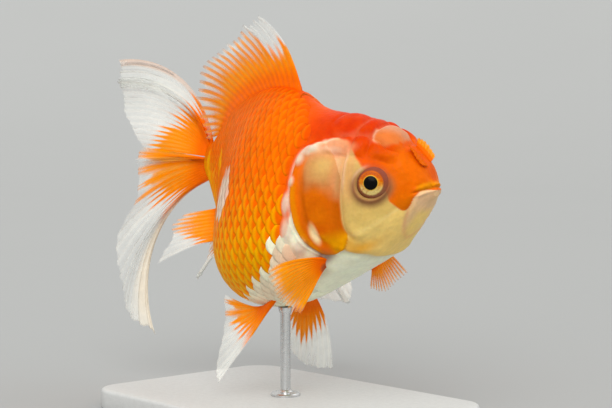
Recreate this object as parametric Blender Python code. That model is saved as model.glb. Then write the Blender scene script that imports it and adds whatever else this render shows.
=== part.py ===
"""A twin-tailed fancy goldfish at life size, held over a flat base by one upright rod.

The fish swims along +X with its left side towards +Y and its back up. The origin is under the
middle of the stand's base. The tables are in millimetres and degrees; MM turns them into metres.
Stations along the body are distances back from the tip of the snout, measured along the spine.
"""

import math

import bmesh
import bpy
import numpy as np
from mathutils import Vector

MM = 0.001

# The spine: the body bends sideways, so the head turns to the fish's left of the trunk.
HEAD_HEADING = 17.0
TRUNK_HEADING = -8.0
TAIL_HEADING = -30.0
NECK_BEND = (24.0, 52.0)
TAIL_BEND = (56.0, 90.0)
BODY_LENGTH = 90.0
ROD_STATION = 44.5
AXIS_HEIGHT = 54.5

# Cuts between the head, the trunk and the tail stalk, and the gap that each cut leaves.
NECK_CUT = 31.5
STALK_CUT = 72.0
GAP = 0.3

# One row for each station of the body: its distance from the snout, the heights of its top, its
# widest level and its bottom over the axis, its half width, and how square its upper and lower
# halves are (2 is an ellipse, less is more pointed).
BODY = (
    (0.0, 6.4, 4.6, 3.0, 2.0, 2.0, 2.0),
    (1.5, 10.2, 4.6, 1.4, 4.9, 2.1, 2.2),
    (3.0, 12.3, 4.0, -1.0, 6.6, 2.2, 2.3),
    (6.0, 15.2, 3.2, -5.2, 9.2, 2.3, 2.4),
    (10.0, 18.6, 1.6, -9.4, 12.0, 2.4, 2.7),
    (14.0, 20.6, 0.0, -12.4, 14.3, 2.4, 2.9),
    (18.0, 21.6, -1.2, -14.9, 15.2, 2.3, 2.7),
    (24.0, 22.8, -2.0, -18.6, 16.1, 2.2, 2.3),
    (30.0, 23.8, -3.6, -21.8, 17.5, 2.0, 2.2),
    (35.0, 25.8, -5.4, -24.0, 18.6, 1.9, 2.1),
    (39.0, 28.4, -7.0, -25.4, 18.8, 1.8, 2.0),
    (46.0, 29.3, -9.4, -26.8, 18.2, 1.65, 2.0),
    (53.0, 28.6, -10.4, -26.4, 16.0, 1.55, 2.0),
    (59.0, 27.2, -9.4, -23.4, 12.2, 1.6, 2.0),
    (64.0, 25.4, -6.0, -18.0, 8.0, 1.7, 2.0),
    (69.0, 23.0, -1.4, -11.2, 5.6, 1.8, 2.0),
    (74.0, 19.8, 2.8, -5.0, 4.7, 1.9, 2.0),
    (80.0, 15.8, 6.8, 0.6, 4.2, 2.0, 2.0),
    (85.0, 14.2, 8.2, 2.4, 3.6, 2.0, 2.0),
    (90.0, 14.0, 8.4, 2.6, 3.1, 2.0, 2.0),
)
RING_POINTS = 34
SPINE_STEP = 0.25

# Fins are fans of rays, and the rays between two rows run smoothly from one to the other. Each
# row is one ray: the station of its root, the root's angle round the body from the back
# (positive to the fish's left), the pitch above level at the root and the tip, the splay out
# from straight back at the root and the tip, and its length.
DORSAL_RAYS = (
    (39.0, 0.0, 75.0, 30.0, 0.0, 0.0, 25.0),
    (53.0, 0.0, 40.0, 22.0, 0.0, 0.0, 22.5),
    (67.0, 0.0, 22.0, 10.0, 0.0, -12.0, 22.0),
    (81.0, 0.0, -6.0, -16.0, 0.0, -24.0, 10.0),
)
TAIL_UPPER_RIGHT = (
    (90.0, 20.0, 85.0, -8.0, 40.0, 65.0, 41.0),
    (90.0, 72.0, 6.0, 4.0, 45.0, 65.0, 19.0),
)
TAIL_UPPER_LEFT = (
    (90.0, 20.0, 52.0, 12.0, 20.0, 36.0, 40.0),
    (90.0, 72.0, 4.0, -2.0, 26.0, 44.0, 20.0),
)
TAIL_LOWER_RIGHT = (
    (90.0, 80.0, 3.0, 10.0, 45.0, 65.0, 21.0),
    (90.0, 98.0, -10.0, -36.0, 45.0, 64.0, 25.0),
    (90.0, 116.0, -20.0, -50.0, 44.0, 61.0, 38.0),
    (90.0, 134.0, -24.0, -70.0, 43.0, 58.0, 46.0),
    (90.0, 143.0, -22.0, -88.0, 41.0, 54.0, 54.0),
    (90.0, 152.0, -18.0, -112.0, 38.0, 50.0, 57.0),
)
TAIL_LOWER_LEFT = (
    (90.0, 80.0, -6.0, -14.0, 32.0, 56.0, 20.0),
    (90.0, 98.0, -20.0, -36.0, 44.0, 80.0, 30.0),
    (90.0, 116.0, -25.0, -46.0, 54.0, 100.0, 48.0),
    (90.0, 134.0, -27.0, -57.0, 57.0, 106.0, 56.5),
    (90.0, 152.0, -31.0, -63.0, 54.0, 94.0, 50.0),
)
PECTORAL_RIGHT = (
    (23.0, 122.0, 6.0, -24.0, 55.0, 62.0, 15.4),
    (23.3, 126.0, -20.0, -32.0, 55.0, 60.0, 14.8),
    (23.5, 129.5, -42.0, -44.0, 52.0, 58.0, 14.2),
    (23.6, 133.0, -62.0, -60.0, 44.0, 50.0, 12.6),
)
PECTORAL_LEFT = (
    (22.0, 122.0, -30.0, -34.0, 95.0, 95.0, 14.8),
    (22.6, 130.0, -38.0, -42.0, 88.0, 86.0, 13.2),
    (23.0, 138.0, -46.0, -52.0, 78.0, 74.0, 11.5),
    (23.2, 145.0, -40.0, -46.0, 60.0, 52.0, 9.5),
)
PELVIC_RIGHT = (
    (40.8, 156.0, -58.0, -50.0, 24.0, 30.0, 26.0),
    (42.6, 158.0, -50.0, -48.0, 22.0, 28.0, 23.0),
    (44.6, 160.0, -30.0, -30.0, 18.0, 20.0, 15.0),
    (46.5, 161.0, 4.0, 20.0, 14.0, 16.0, 12.5),
)
PELVIC_LEFT = (
    (42.2, 154.0, -38.0, -66.0, 66.0, 46.0, 27.0),
    (44.0, 157.0, -48.0, -58.0, 50.0, 40.0, 25.0),
    (46.0, 160.0, -50.0, -48.0, 32.0, 28.0, 22.0),
    (47.8, 162.0, -42.0, -38.0, 14.0, 14.0, 13.0),
)
ANAL_RIGHT = (
    (69.0, 166.0, -4.0, -34.0, 32.0, 46.0, 24.0),
    (71.0, 164.0, -10.0, -14.0, 32.0, 46.0, 18.0),
    (73.0, 162.0, -10.0, -10.0, 32.0, 46.0, 17.0),
    (75.5, 160.0, -10.0, -10.0, 32.0, 46.0, 12.0),
)
ANAL_LEFT = (
    (69.0, 166.0, -12.0, -48.0, -4.0, -10.0, 27.0),
    (71.0, 164.0, -20.0, -44.0, -4.0, -10.0, 23.0),
    (73.0, 162.0, -24.0, -40.0, -4.0, -10.0, 18.0),
    (75.5, 160.0, -24.0, -36.0, -4.0, -10.0, 12.0),
)
NOSTRIL_FLAP_LEFT = (
    (6.4, 9.0, 76.0, 80.0, 92.0, 92.0, 1.3),
    (5.2, 12.0, 66.0, 70.0, 96.0, 96.0, 2.3),
    (3.8, 16.0, 54.0, 58.0, 100.0, 100.0, 2.1),
    (2.6, 21.0, 38.0, 42.0, 106.0, 106.0, 1.4),
)
NOSTRIL_FLAP_RIGHT = (
    (5.4, 16.0, 40.0, 34.0, 66.0, 56.0, 1.2),
    (4.2, 19.0, 34.0, 28.0, 72.0, 62.0, 1.8),
    (3.0, 23.0, 26.0, 20.0, 78.0, 68.0, 1.8),
    (1.9, 27.0, 14.0, 10.0, 84.0, 76.0, 1.2),
)
FIN_ROOT_THICKNESS = 1.3
FIN_TIP_THICKNESS = 0.6

# The eyes: balls that stand part way out of the sides of the head.
EYE_STATION = 11.4
EYE_LATERAL = 10.3
EYE_LEVEL = 6.6
EYE_RADIUS = 4.4

# The gill covers: domed plates over the sides of the head, leaning forward at the bottom.
COVER_STATION = 22.0
COVER_AROUND = 84.0
COVER_REAR = 7.4
COVER_FRONT = 5.2
COVER_SPREAD = 39.0
COVER_LEAN = 3.0
COVER_EDGE = 0.6
COVER_DOME = 0.5
COVER_RINGS = 5
COVER_SPOKES = 22

# How finely the round pieces are faceted, and the angle over which an edge stays sharp.
EYE_SEGMENTS = 20
EYE_RINGS = 12
ROD_SEGMENTS = 20
CORNER_SEGMENTS = 5
SHARP_ANGLE = 50.0

# The stand.
BASE_LENGTH = 88.0
BASE_WIDTH = 60.0
BASE_THICKNESS = 5.0
BASE_CORNER = 8.0
ROD_RADIUS = 1.4


def smooth_rows(rows, key, at):
    """The rows' values at a key between theirs, on a smooth curve through them."""
    keys = [row[key] for row in rows]
    i = min(max(np.searchsorted(keys, at, side="right") - 1, 0), len(rows) - 2)
    values = [np.array(row, float) for row in rows]

    def slope(k):
        low, high = max(k - 1, 0), min(k + 1, len(rows) - 1)
        return (values[high] - values[low]) / (keys[high] - keys[low])

    span = keys[i + 1] - keys[i]
    t = min(max((at - keys[i]) / span, 0.0), 1.0)
    rise = slope(i) * span
    fall = slope(i + 1) * span
    return (
        values[i] * (2 * t**3 - 3 * t**2 + 1)
        + rise * (t**3 - 2 * t**2 + t)
        + values[i + 1] * (3 * t**2 - 2 * t**3)
        + fall * (t**3 - t**2)
    )


def ease(value, span):
    """Rises smoothly from 0 to 1 as the value crosses the span."""
    t = min(max((value - span[0]) / (span[1] - span[0]), 0.0), 1.0)
    return t * t * (3.0 - 2.0 * t)


def heading(station):
    """The spine's heading at a station, in radians from +X towards +Y."""
    neck = (TRUNK_HEADING - HEAD_HEADING) * ease(station, NECK_BEND)
    tail = (TAIL_HEADING - TRUNK_HEADING) * ease(station, TAIL_BEND)
    return math.radians(HEAD_HEADING + neck + tail)


def spine_table():
    """Plan positions of the spine at even steps, with the rod's station over the origin."""
    count = int(BODY_LENGTH / SPINE_STEP) + 9
    points = [np.zeros(2)]
    for i in range(count):
        angle = heading((i + 0.5) * SPINE_STEP)
        back = np.array((-math.cos(angle), -math.sin(angle)))
        points.append(points[-1] + back * SPINE_STEP)
    points = np.array(points)
    return points - points[int(ROD_STATION / SPINE_STEP)]


SPINE = spine_table()


def frame_at(station):
    """The spine's place at a station, and its forward, left and up directions."""
    steps = np.arange(len(SPINE)) * SPINE_STEP
    x = np.interp(station, steps, SPINE[:, 0])
    y = np.interp(station, steps, SPINE[:, 1])
    angle = heading(station)
    forward = np.array((math.cos(angle), math.sin(angle), 0.0))
    left = np.array((-math.sin(angle), math.cos(angle), 0.0))
    return np.array((x, y, AXIS_HEIGHT)), forward, left


def body_point(station, around):
    """A point of the body's surface, with around in degrees from the back to the left."""
    _, top, level, bottom, half, upper, lower = smooth_rows(BODY, 0, station)
    turn = math.radians(around)
    across, up = math.sin(turn), math.cos(turn)
    power = 2.0 / (upper if up >= 0 else lower)
    reach = (top - level) if up >= 0 else (level - bottom)
    lateral = math.copysign(abs(across) ** power, across) * half
    height = level + math.copysign(abs(up) ** power, up) * reach
    place, _, left = frame_at(station)
    return place + left * lateral + np.array((0.0, 0.0, height))


def body_normal(station, around):
    """The outward direction of the body's surface."""
    along = body_point(station + 0.4, around) - body_point(station - 0.4, around)
    round_it = body_point(station, around + 1.5) - body_point(station, around - 1.5)
    normal = np.cross(along, round_it)
    normal /= np.linalg.norm(normal)
    place, _, _ = frame_at(station)
    middle = smooth_rows(BODY, 0, station)[2]
    outward = body_point(station, around) - place - np.array((0.0, 0.0, middle))
    return normal if normal @ outward > 0 else -normal


def material(name, colour, roughness, metallic=0.0):
    made = bpy.data.materials.new(name)
    made.use_nodes = True
    shader = made.node_tree.nodes["Principled BSDF"]
    shader.inputs["Base Color"].default_value = (*colour, 1.0)
    shader.inputs["Roughness"].default_value = roughness
    shader.inputs["Metallic"].default_value = metallic
    made.diffuse_color = (*colour, 1.0)
    return made


def add_object(name, shaped, finish):
    """An object from a finished bmesh, with its faces pointing out and its round parts smooth."""
    bmesh.ops.recalc_face_normals(shaped, faces=shaped.faces)
    mesh = bpy.data.meshes.new(name)
    shaped.to_mesh(mesh)
    shaped.free()
    mesh.materials.append(finish)
    mesh.shade_smooth()
    mesh.set_sharp_from_angle(angle=math.radians(SHARP_ANGLE))
    made = bpy.data.objects.new(name, mesh)
    bpy.context.scene.collection.objects.link(made)
    return made


def add_shell(name, points, faces, finish):
    """One closed body from points in millimetres and the faces between them."""
    shaped = bmesh.new()
    corners = [shaped.verts.new(Vector(point) * MM) for point in points]
    for face in faces:
        shaped.faces.new([corners[i] for i in face])
    return add_object(name, shaped, finish)


def loft(name, stations, finish):
    """A length of the body between its first and last stations, closed by flat ends."""
    points, faces = [], []
    for station in stations:
        for k in range(RING_POINTS):
            points.append(body_point(station, 360.0 * k / RING_POINTS))
    for i in range(len(stations) - 1):
        for k in range(RING_POINTS):
            a = i * RING_POINTS + k
            b = i * RING_POINTS + (k + 1) % RING_POINTS
            faces.append((a, b, b + RING_POINTS, a + RING_POINTS))
    for i in (0, len(stations) - 1):
        ring = points[i * RING_POINTS : (i + 1) * RING_POINTS]
        centre = len(points)
        points.append(np.mean(ring, axis=0))
        for k in range(RING_POINTS):
            a = i * RING_POINTS + k
            b = i * RING_POINTS + (k + 1) % RING_POINTS
            faces.append((a, b, centre))
    return add_shell(name, points, faces, finish)


def fin_ray(row, side, steps, thickness):
    """The points of one ray from its root out, for a side of 1 (left) or -1 (right)."""
    station, around, pitch_root, pitch_tip, splay_root, splay_tip, length = row
    _, forward, left = frame_at(station)

    def way(t):
        pitch = math.radians(pitch_root + (pitch_tip - pitch_root) * t)
        splay = math.radians(splay_root + (splay_tip - splay_root) * t)
        level = -forward * math.cos(splay) + left * side * math.sin(splay)
        return level * math.cos(pitch) + np.array((0.0, 0.0, math.sin(pitch)))

    normal = body_normal(station, around * side)
    point = body_point(station, around * side)
    if station >= BODY_LENGTH:
        point = point - forward * (GAP + thickness / 2) - normal * thickness / 2
    else:
        slant = math.sqrt(max(1.0 - (way(0.0) @ normal) ** 2, 0.0))
        point = point + normal * (GAP + slant * thickness / 2)
    points = [point]
    for k in range(steps):
        points.append(points[-1] + way((k + 0.5) / steps) * length / steps)
    return points


def fin_sheet(rows, side, rays, steps, thickness):
    """The middle surface of a fin, as a grid of points [ray][step]."""
    numbered = [(i, *row) for i, row in enumerate(rows)]
    sheet = []
    for k in range(rays):
        at = k * (len(rows) - 1) / (rays - 1)
        sheet.append(fin_ray(smooth_rows(numbered, 0, at)[1:], side, steps, thickness))
    return np.array(sheet)


def fin(name, rows, side, rays, steps, finish, thickness=FIN_ROOT_THICKNESS):
    """A fin as one closed sheet, thinner towards its tips."""
    sheet = fin_sheet(rows, side, rays, steps, thickness)
    across = np.gradient(sheet, axis=0)
    along = np.gradient(sheet, axis=1)
    normal = np.cross(across, along)
    normal /= np.linalg.norm(normal, axis=2, keepdims=True)
    out = np.linspace(0.0, 1.0, steps + 1)[None, :, None]
    half = (thickness + (FIN_TIP_THICKNESS - thickness) * out**0.6) / 2
    count = rays * (steps + 1)
    points = list((sheet + normal * half).reshape(-1, 3))
    points += list((sheet - normal * half).reshape(-1, 3))

    def at(ray, step, layer):
        return layer * count + ray * (steps + 1) + step

    faces = []
    for i in range(rays - 1):
        for j in range(steps):
            for layer in (0, 1):
                corners = [(i, j), (i + 1, j), (i + 1, j + 1), (i, j + 1)]
                faces.append([at(a, b, layer) for a, b in corners])
    rim = [(i, 0) for i in range(rays)]
    rim += [(rays - 1, j) for j in range(1, steps + 1)]
    rim += [(i, steps) for i in range(rays - 2, -1, -1)]
    rim += [(0, j) for j in range(steps - 1, 0, -1)]
    for a, b in zip(rim, rim[1:] + rim[:1]):
        faces.append((at(*a, 0), at(*b, 0), at(*b, 1), at(*a, 1)))
    return add_shell(name, points, faces, finish)


def gill_cover(name, side, finish):
    """A domed plate that follows the side of the head, a gap above it."""
    flat = [(0.0, 0.0)]
    for i in range(1, COVER_RINGS + 1):
        for k in range(COVER_SPOKES):
            turn = 2 * math.pi * k / COVER_SPOKES
            flat.append((i / COVER_RINGS * math.cos(turn), i / COVER_RINGS * math.sin(turn)))
    points = []
    for outer in (1, 0):
        for back, down in flat:
            reach = COVER_REAR if back > 0 else COVER_FRONT
            station = COVER_STATION + reach * back - COVER_LEAN * down
            around = side * (COVER_AROUND + COVER_SPREAD * down)
            dome = COVER_DOME * (1 - back**2 - down**2)
            lift = GAP + outer * (COVER_EDGE + dome)
            normal = body_normal(station, around)
            points.append(body_point(station, around) + normal * lift)
    layer = len(flat)
    faces = []
    for start in (0, layer):
        for k in range(COVER_SPOKES):
            following = (k + 1) % COVER_SPOKES
            faces.append((start, start + 1 + k, start + 1 + following))
            for i in range(COVER_RINGS - 1):
                a = start + 1 + i * COVER_SPOKES
                b = a + COVER_SPOKES
                faces.append((a + k, b + k, b + following, a + following))
    rim = layer - COVER_SPOKES
    for k in range(COVER_SPOKES):
        following = (k + 1) % COVER_SPOKES
        faces.append((rim + k, rim + layer + k, rim + layer + following, rim + following))
    return add_shell(name, points, faces, finish)


def eye_place(side):
    """The middle of the left (1) or right (-1) eye."""
    place, _, left = frame_at(EYE_STATION)
    return place + left * side * EYE_LATERAL + np.array((0.0, 0.0, EYE_LEVEL))


def ball(name, centre, radius, finish):
    shaped = bmesh.new()
    bmesh.ops.create_uvsphere(
        shaped, u_segments=EYE_SEGMENTS, v_segments=EYE_RINGS, radius=radius * MM
    )
    bmesh.ops.translate(shaped, verts=shaped.verts, vec=Vector(centre) * MM)
    return add_object(name, shaped, finish)


def cut(target, cutter):
    """Takes the cutter's shape out of the target and keeps the cutter as a hidden guide."""
    cutter.hide_render = True
    cutter.display_type = "WIRE"
    modifier = target.modifiers.new("cut", "BOOLEAN")
    modifier.operation = "DIFFERENCE"
    modifier.solver = "EXACT"
    modifier.object = cutter


def stations_between(first, last, count):
    return list(np.linspace(first, last, count))


def build_body(finish):
    snout = [0.0, 0.5, 1.1, 1.8, 2.7, 3.8, 5.2]
    loft("head", snout + stations_between(7.0, NECK_CUT, 11), finish)
    loft("trunk", stations_between(NECK_CUT + GAP, STALK_CUT, 14), finish)
    loft("tail_stalk", stations_between(STALK_CUT + GAP, BODY_LENGTH, 7), finish)


def build_eyes(finish):
    """The eyes, in sockets cut out of the head."""
    head = bpy.data.objects["head"]
    for side, word in ((1, "left"), (-1, "right")):
        ball("eye_" + word, eye_place(side), EYE_RADIUS, finish)
        socket = ball("socket_" + word, eye_place(side), EYE_RADIUS + GAP, finish)
        cut(head, socket)


def build_head_parts(pale, orange):
    gill_cover("gill_cover_right", -1, pale)
    gill_cover("gill_cover_left", 1, pale)
    thin = FIN_TIP_THICKNESS
    fin("nostril_flap_right", NOSTRIL_FLAP_RIGHT, -1, 7, 3, orange, thin)
    fin("nostril_flap_left", NOSTRIL_FLAP_LEFT, 1, 7, 3, orange, thin)


def build_fins(orange, white):
    fin("dorsal_fin", DORSAL_RAYS, 1, 17, 7, orange)
    fin("tail_upper_right", TAIL_UPPER_RIGHT, -1, 11, 10, white)
    fin("tail_upper_left", TAIL_UPPER_LEFT, 1, 11, 10, white)
    fin("tail_lower_right", TAIL_LOWER_RIGHT, -1, 11, 14, white)
    fin("tail_lower_left", TAIL_LOWER_LEFT, 1, 11, 14, white)
    fin("pectoral_fin_right", PECTORAL_RIGHT, -1, 9, 6, orange)
    fin("pectoral_fin_left", PECTORAL_LEFT, 1, 9, 6, orange)
    fin("pelvic_fin_right", PELVIC_RIGHT, -1, 9, 7, orange)
    fin("pelvic_fin_left", PELVIC_LEFT, 1, 9, 7, orange)
    fin("anal_fin_right", ANAL_RIGHT, -1, 7, 6, orange)
    fin("anal_fin_left", ANAL_LEFT, 1, 7, 6, orange)


def build_stand_base(finish):
    shaped = bmesh.new()
    bmesh.ops.create_cube(shaped, size=1.0)
    size = Vector((BASE_LENGTH, BASE_WIDTH, BASE_THICKNESS)) * MM
    bmesh.ops.scale(shaped, verts=shaped.verts, vec=size)
    bmesh.ops.translate(shaped, verts=shaped.verts, vec=(0, 0, BASE_THICKNESS / 2 * MM))
    upright = [e for e in shaped.edges if abs(e.verts[0].co.z - e.verts[1].co.z) > MM]
    bmesh.ops.bevel(
        shaped,
        geom=upright,
        offset=BASE_CORNER * MM,
        segments=CORNER_SEGMENTS,
        profile=0.5,
        affect="EDGES",
    )
    add_object("stand_base", shaped, finish)


def build_stand_rod(finish):
    foot = BASE_THICKNESS + GAP
    head = body_point(ROD_STATION, 180.0)[2] - GAP
    shaped = bmesh.new()
    bmesh.ops.create_cone(
        shaped,
        cap_ends=True,
        segments=ROD_SEGMENTS,
        radius1=ROD_RADIUS * MM,
        radius2=ROD_RADIUS * MM,
        depth=(head - foot) * MM,
    )
    bmesh.ops.translate(shaped, verts=shaped.verts, vec=(0, 0, (head + foot) / 2 * MM))
    add_object("stand_rod", shaped, finish)


def main():
    for old in list(bpy.data.objects):
        bpy.data.objects.remove(old)
    orange = material("orange_skin", (0.85, 0.22, 0.02), 0.35)
    pale = material("pale_skin", (0.85, 0.72, 0.45), 0.35)
    white = material("white_fin", (0.85, 0.85, 0.82), 0.4)
    black = material("eye_black", (0.02, 0.02, 0.02), 0.08)
    build_body(orange)
    build_eyes(black)
    build_head_parts(pale, orange)
    build_fins(orange, white)
    build_stand_base(material("base_grey", (0.42, 0.42, 0.41), 0.5))
    build_stand_rod(material("rod_steel", (0.62, 0.62, 0.64), 0.3, 1.0))


main()
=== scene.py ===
"""The looks of a life-size twin-tailed goldfish on a display stand: its skin, scales, eyes and fins.

Tables are in millimetres and degrees and MM turns them into metres. A station is the distance
back from the tip of the snout along the spine, and around is the angle round the body from the
back, positive to the fish's left.
"""

import math

import bpy
import numpy as np
from bpy.props import FloatProperty, FloatVectorProperty, IntProperty, PointerProperty
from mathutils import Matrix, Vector


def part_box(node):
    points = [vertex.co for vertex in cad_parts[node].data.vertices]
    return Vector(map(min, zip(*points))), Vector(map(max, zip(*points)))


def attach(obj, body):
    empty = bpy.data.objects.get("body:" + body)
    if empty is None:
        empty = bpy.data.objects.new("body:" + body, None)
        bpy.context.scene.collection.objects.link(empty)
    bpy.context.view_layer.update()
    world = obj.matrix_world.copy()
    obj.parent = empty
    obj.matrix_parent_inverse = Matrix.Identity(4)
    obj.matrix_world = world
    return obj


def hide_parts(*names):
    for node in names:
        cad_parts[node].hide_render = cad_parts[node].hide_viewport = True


bl_info = {
    "name": "Goldfish on a stand",
    "version": (1, 0, 0),
    "blender": (4, 5, 0),
    "location": "3D View > Sidebar > Goldfish",
    "description": "Builds the skin, scales, eyes, fins and stand of a life-size goldfish",
    "category": "Object",
}

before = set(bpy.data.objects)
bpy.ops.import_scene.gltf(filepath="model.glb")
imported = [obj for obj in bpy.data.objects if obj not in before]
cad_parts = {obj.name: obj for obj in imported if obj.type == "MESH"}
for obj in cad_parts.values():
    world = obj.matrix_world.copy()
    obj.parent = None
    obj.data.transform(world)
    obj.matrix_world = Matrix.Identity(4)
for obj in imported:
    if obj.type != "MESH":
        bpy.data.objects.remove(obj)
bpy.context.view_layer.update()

MM = 0.001

# The body, as the solids have it: the spine's headings, and one row for each station with the
# heights of its top, widest level and bottom over the axis, its half width, and how square its
# upper and lower halves are.
HEAD_HEADING, TRUNK_HEADING, TAIL_HEADING = 17.0, -8.0, -30.0
NECK_BEND, TAIL_BEND = (24.0, 52.0), (56.0, 90.0)
BODY_LENGTH, ROD_STATION, AXIS_HEIGHT, SPINE_STEP = 90.0, 44.5, 54.5, 0.25
BODY = (
    (0.0, 6.4, 4.6, 3.0, 2.0, 2.0, 2.0),
    (1.5, 10.2, 4.6, 1.4, 4.9, 2.1, 2.2),
    (3.0, 12.3, 4.0, -1.0, 6.6, 2.2, 2.3),
    (6.0, 15.2, 3.2, -5.2, 9.2, 2.3, 2.4),
    (10.0, 18.6, 1.6, -9.4, 12.0, 2.4, 2.7),
    (14.0, 20.6, 0.0, -12.4, 14.3, 2.4, 2.9),
    (18.0, 21.6, -1.2, -14.9, 15.2, 2.3, 2.7),
    (24.0, 22.8, -2.0, -18.6, 16.1, 2.2, 2.3),
    (30.0, 23.8, -3.6, -21.8, 17.5, 2.0, 2.2),
    (35.0, 25.8, -5.4, -24.0, 18.6, 1.9, 2.1),
    (39.0, 28.4, -7.0, -25.4, 18.8, 1.8, 2.0),
    (46.0, 29.3, -9.4, -26.8, 18.2, 1.65, 2.0),
    (53.0, 28.6, -10.4, -26.4, 16.0, 1.55, 2.0),
    (59.0, 27.2, -9.4, -23.4, 12.2, 1.6, 2.0),
    (64.0, 25.4, -6.0, -18.0, 8.0, 1.7, 2.0),
    (69.0, 23.0, -1.4, -11.2, 5.6, 1.8, 2.0),
    (74.0, 19.8, 2.8, -5.0, 4.7, 1.9, 2.0),
    (80.0, 15.8, 6.8, 0.6, 4.2, 2.0, 2.0),
    (85.0, 14.2, 8.2, 2.4, 3.6, 2.0, 2.0),
    (90.0, 14.0, 8.4, 2.6, 3.1, 2.0, 2.0),
)

# Fin rays: the root's station and around, the pitch above level and the splay out from straight
# back, each at the root and the tip, and the length. They are as the solids have them, but for the
# facing edges of the right tail lobes. Those are moved to close the slit between the lobes, and
# they pass through each other along their outer half.
DORSAL = (
    (39.0, 0.0, 75.0, 30.0, 0.0, 0.0, 25.0),
    (53.0, 0.0, 40.0, 22.0, 0.0, 0.0, 22.5),
    (67.0, 0.0, 22.0, 10.0, 0.0, -12.0, 22.0),
    (81.0, 0.0, -6.0, -16.0, 0.0, -24.0, 10.0),
)
TAIL_UPPER_RIGHT = (
    (90.0, 20.0, 85.0, -8.0, 40.0, 65.0, 41.0),
    (90.0, 74.5, 6.0, 1.5, 45.0, 65.0, 19.0),
)
TAIL_UPPER_LEFT = (
    (90.0, 20.0, 52.0, 12.0, 20.0, 36.0, 40.0),
    (90.0, 72.0, 4.0, -2.0, 26.0, 44.0, 20.0),
)
TAIL_LOWER_RIGHT = (
    (90.0, 77.5, 6.5, 8.5, 45.0, 65.0, 21.0),
    (90.0, 98.0, -10.0, -36.0, 45.0, 64.0, 25.0),
    (90.0, 116.0, -20.0, -50.0, 44.0, 61.0, 38.0),
    (90.0, 134.0, -24.0, -70.0, 43.0, 58.0, 46.0),
    (90.0, 143.0, -22.0, -88.0, 41.0, 54.0, 54.0),
    (90.0, 152.0, -18.0, -112.0, 38.0, 50.0, 57.0),
)
TAIL_LOWER_LEFT = (
    (90.0, 80.0, -6.0, -14.0, 32.0, 56.0, 20.0),
    (90.0, 98.0, -20.0, -36.0, 44.0, 80.0, 30.0),
    (90.0, 116.0, -25.0, -46.0, 54.0, 100.0, 48.0),
    (90.0, 134.0, -27.0, -57.0, 57.0, 106.0, 56.5),
    (90.0, 152.0, -31.0, -63.0, 54.0, 94.0, 50.0),
)
PECTORAL_RIGHT = (
    (23.0, 122.0, 6.0, -24.0, 55.0, 62.0, 15.4),
    (23.3, 126.0, -20.0, -32.0, 55.0, 60.0, 14.8),
    (23.5, 129.5, -42.0, -44.0, 52.0, 58.0, 14.2),
    (23.6, 133.0, -62.0, -60.0, 44.0, 50.0, 12.6),
)
PECTORAL_LEFT = (
    (22.0, 122.0, -30.0, -34.0, 95.0, 95.0, 14.8),
    (22.6, 130.0, -38.0, -42.0, 88.0, 86.0, 13.2),
    (23.0, 138.0, -46.0, -52.0, 78.0, 74.0, 11.5),
    (23.2, 145.0, -40.0, -46.0, 60.0, 52.0, 9.5),
)
PELVIC_RIGHT = (
    (40.8, 156.0, -58.0, -50.0, 24.0, 30.0, 26.0),
    (42.6, 158.0, -50.0, -48.0, 22.0, 28.0, 23.0),
    (44.6, 160.0, -30.0, -30.0, 18.0, 20.0, 15.0),
    (46.5, 161.0, 4.0, 20.0, 14.0, 16.0, 12.5),
)
PELVIC_LEFT = (
    (42.2, 154.0, -38.0, -66.0, 66.0, 46.0, 27.0),
    (44.0, 157.0, -48.0, -58.0, 50.0, 40.0, 25.0),
    (46.0, 160.0, -50.0, -48.0, 32.0, 28.0, 22.0),
    (47.8, 162.0, -42.0, -38.0, 14.0, 14.0, 13.0),
)
ANAL_RIGHT = (
    (69.0, 166.0, -4.0, -34.0, 32.0, 46.0, 24.0),
    (71.0, 164.0, -10.0, -14.0, 32.0, 46.0, 18.0),
    (73.0, 162.0, -10.0, -10.0, 32.0, 46.0, 17.0),
    (75.5, 160.0, -10.0, -10.0, 32.0, 46.0, 12.0),
)
ANAL_LEFT = (
    (69.0, 166.0, -12.0, -48.0, -4.0, -10.0, 27.0),
    (71.0, 164.0, -20.0, -44.0, -4.0, -10.0, 23.0),
    (73.0, 162.0, -24.0, -40.0, -4.0, -10.0, 18.0),
    (75.5, 160.0, -24.0, -36.0, -4.0, -10.0, 12.0),
)
NOSTRIL_FLAP_LEFT = (
    (6.4, 9.0, 76.0, 80.0, 92.0, 92.0, 1.3),
    (5.2, 12.0, 66.0, 70.0, 96.0, 96.0, 2.3),
    (3.8, 16.0, 54.0, 58.0, 100.0, 100.0, 2.1),
    (2.6, 21.0, 38.0, 42.0, 106.0, 106.0, 1.4),
)
NOSTRIL_FLAP_RIGHT = (
    (5.4, 16.0, 40.0, 34.0, 66.0, 56.0, 1.2),
    (4.2, 19.0, 34.0, 28.0, 72.0, 62.0, 1.8),
    (3.0, 23.0, 26.0, 20.0, 78.0, 68.0, 1.8),
    (1.9, 27.0, 14.0, 10.0, 84.0, 76.0, 1.2),
)
CAD_ROOT_THICKNESS, CAD_GAP = 1.3, 0.3

# The gill covers' outlines, as the solids have them.
COVER_STATION, COVER_AROUND, COVER_REAR, COVER_FRONT = 22.0, 84.0, 7.4, 5.2
COVER_SPREAD, COVER_LEAN = 39.0, 3.0

# For angles away from the back: the share of the gill cover's reach where its plate meets its rear
# rim, the station of the crease at its foot, and the station where the scales begin.
COVER_VALLEY = ((50, 0.86), (62, 0.76), (72, 0.63), (105, 0.6), (120, 0.7))
COVER_CREASE = ((94, 26.3), (108, 25.9), (118, 23.2), (126, 24.4))
COAT_START = (
    (0, 34), (22, 31), (36, 28.5), (50, 27.5), (62, 29), (90, 31), (112, 29), (130, 28), (180, 30),
)

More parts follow.
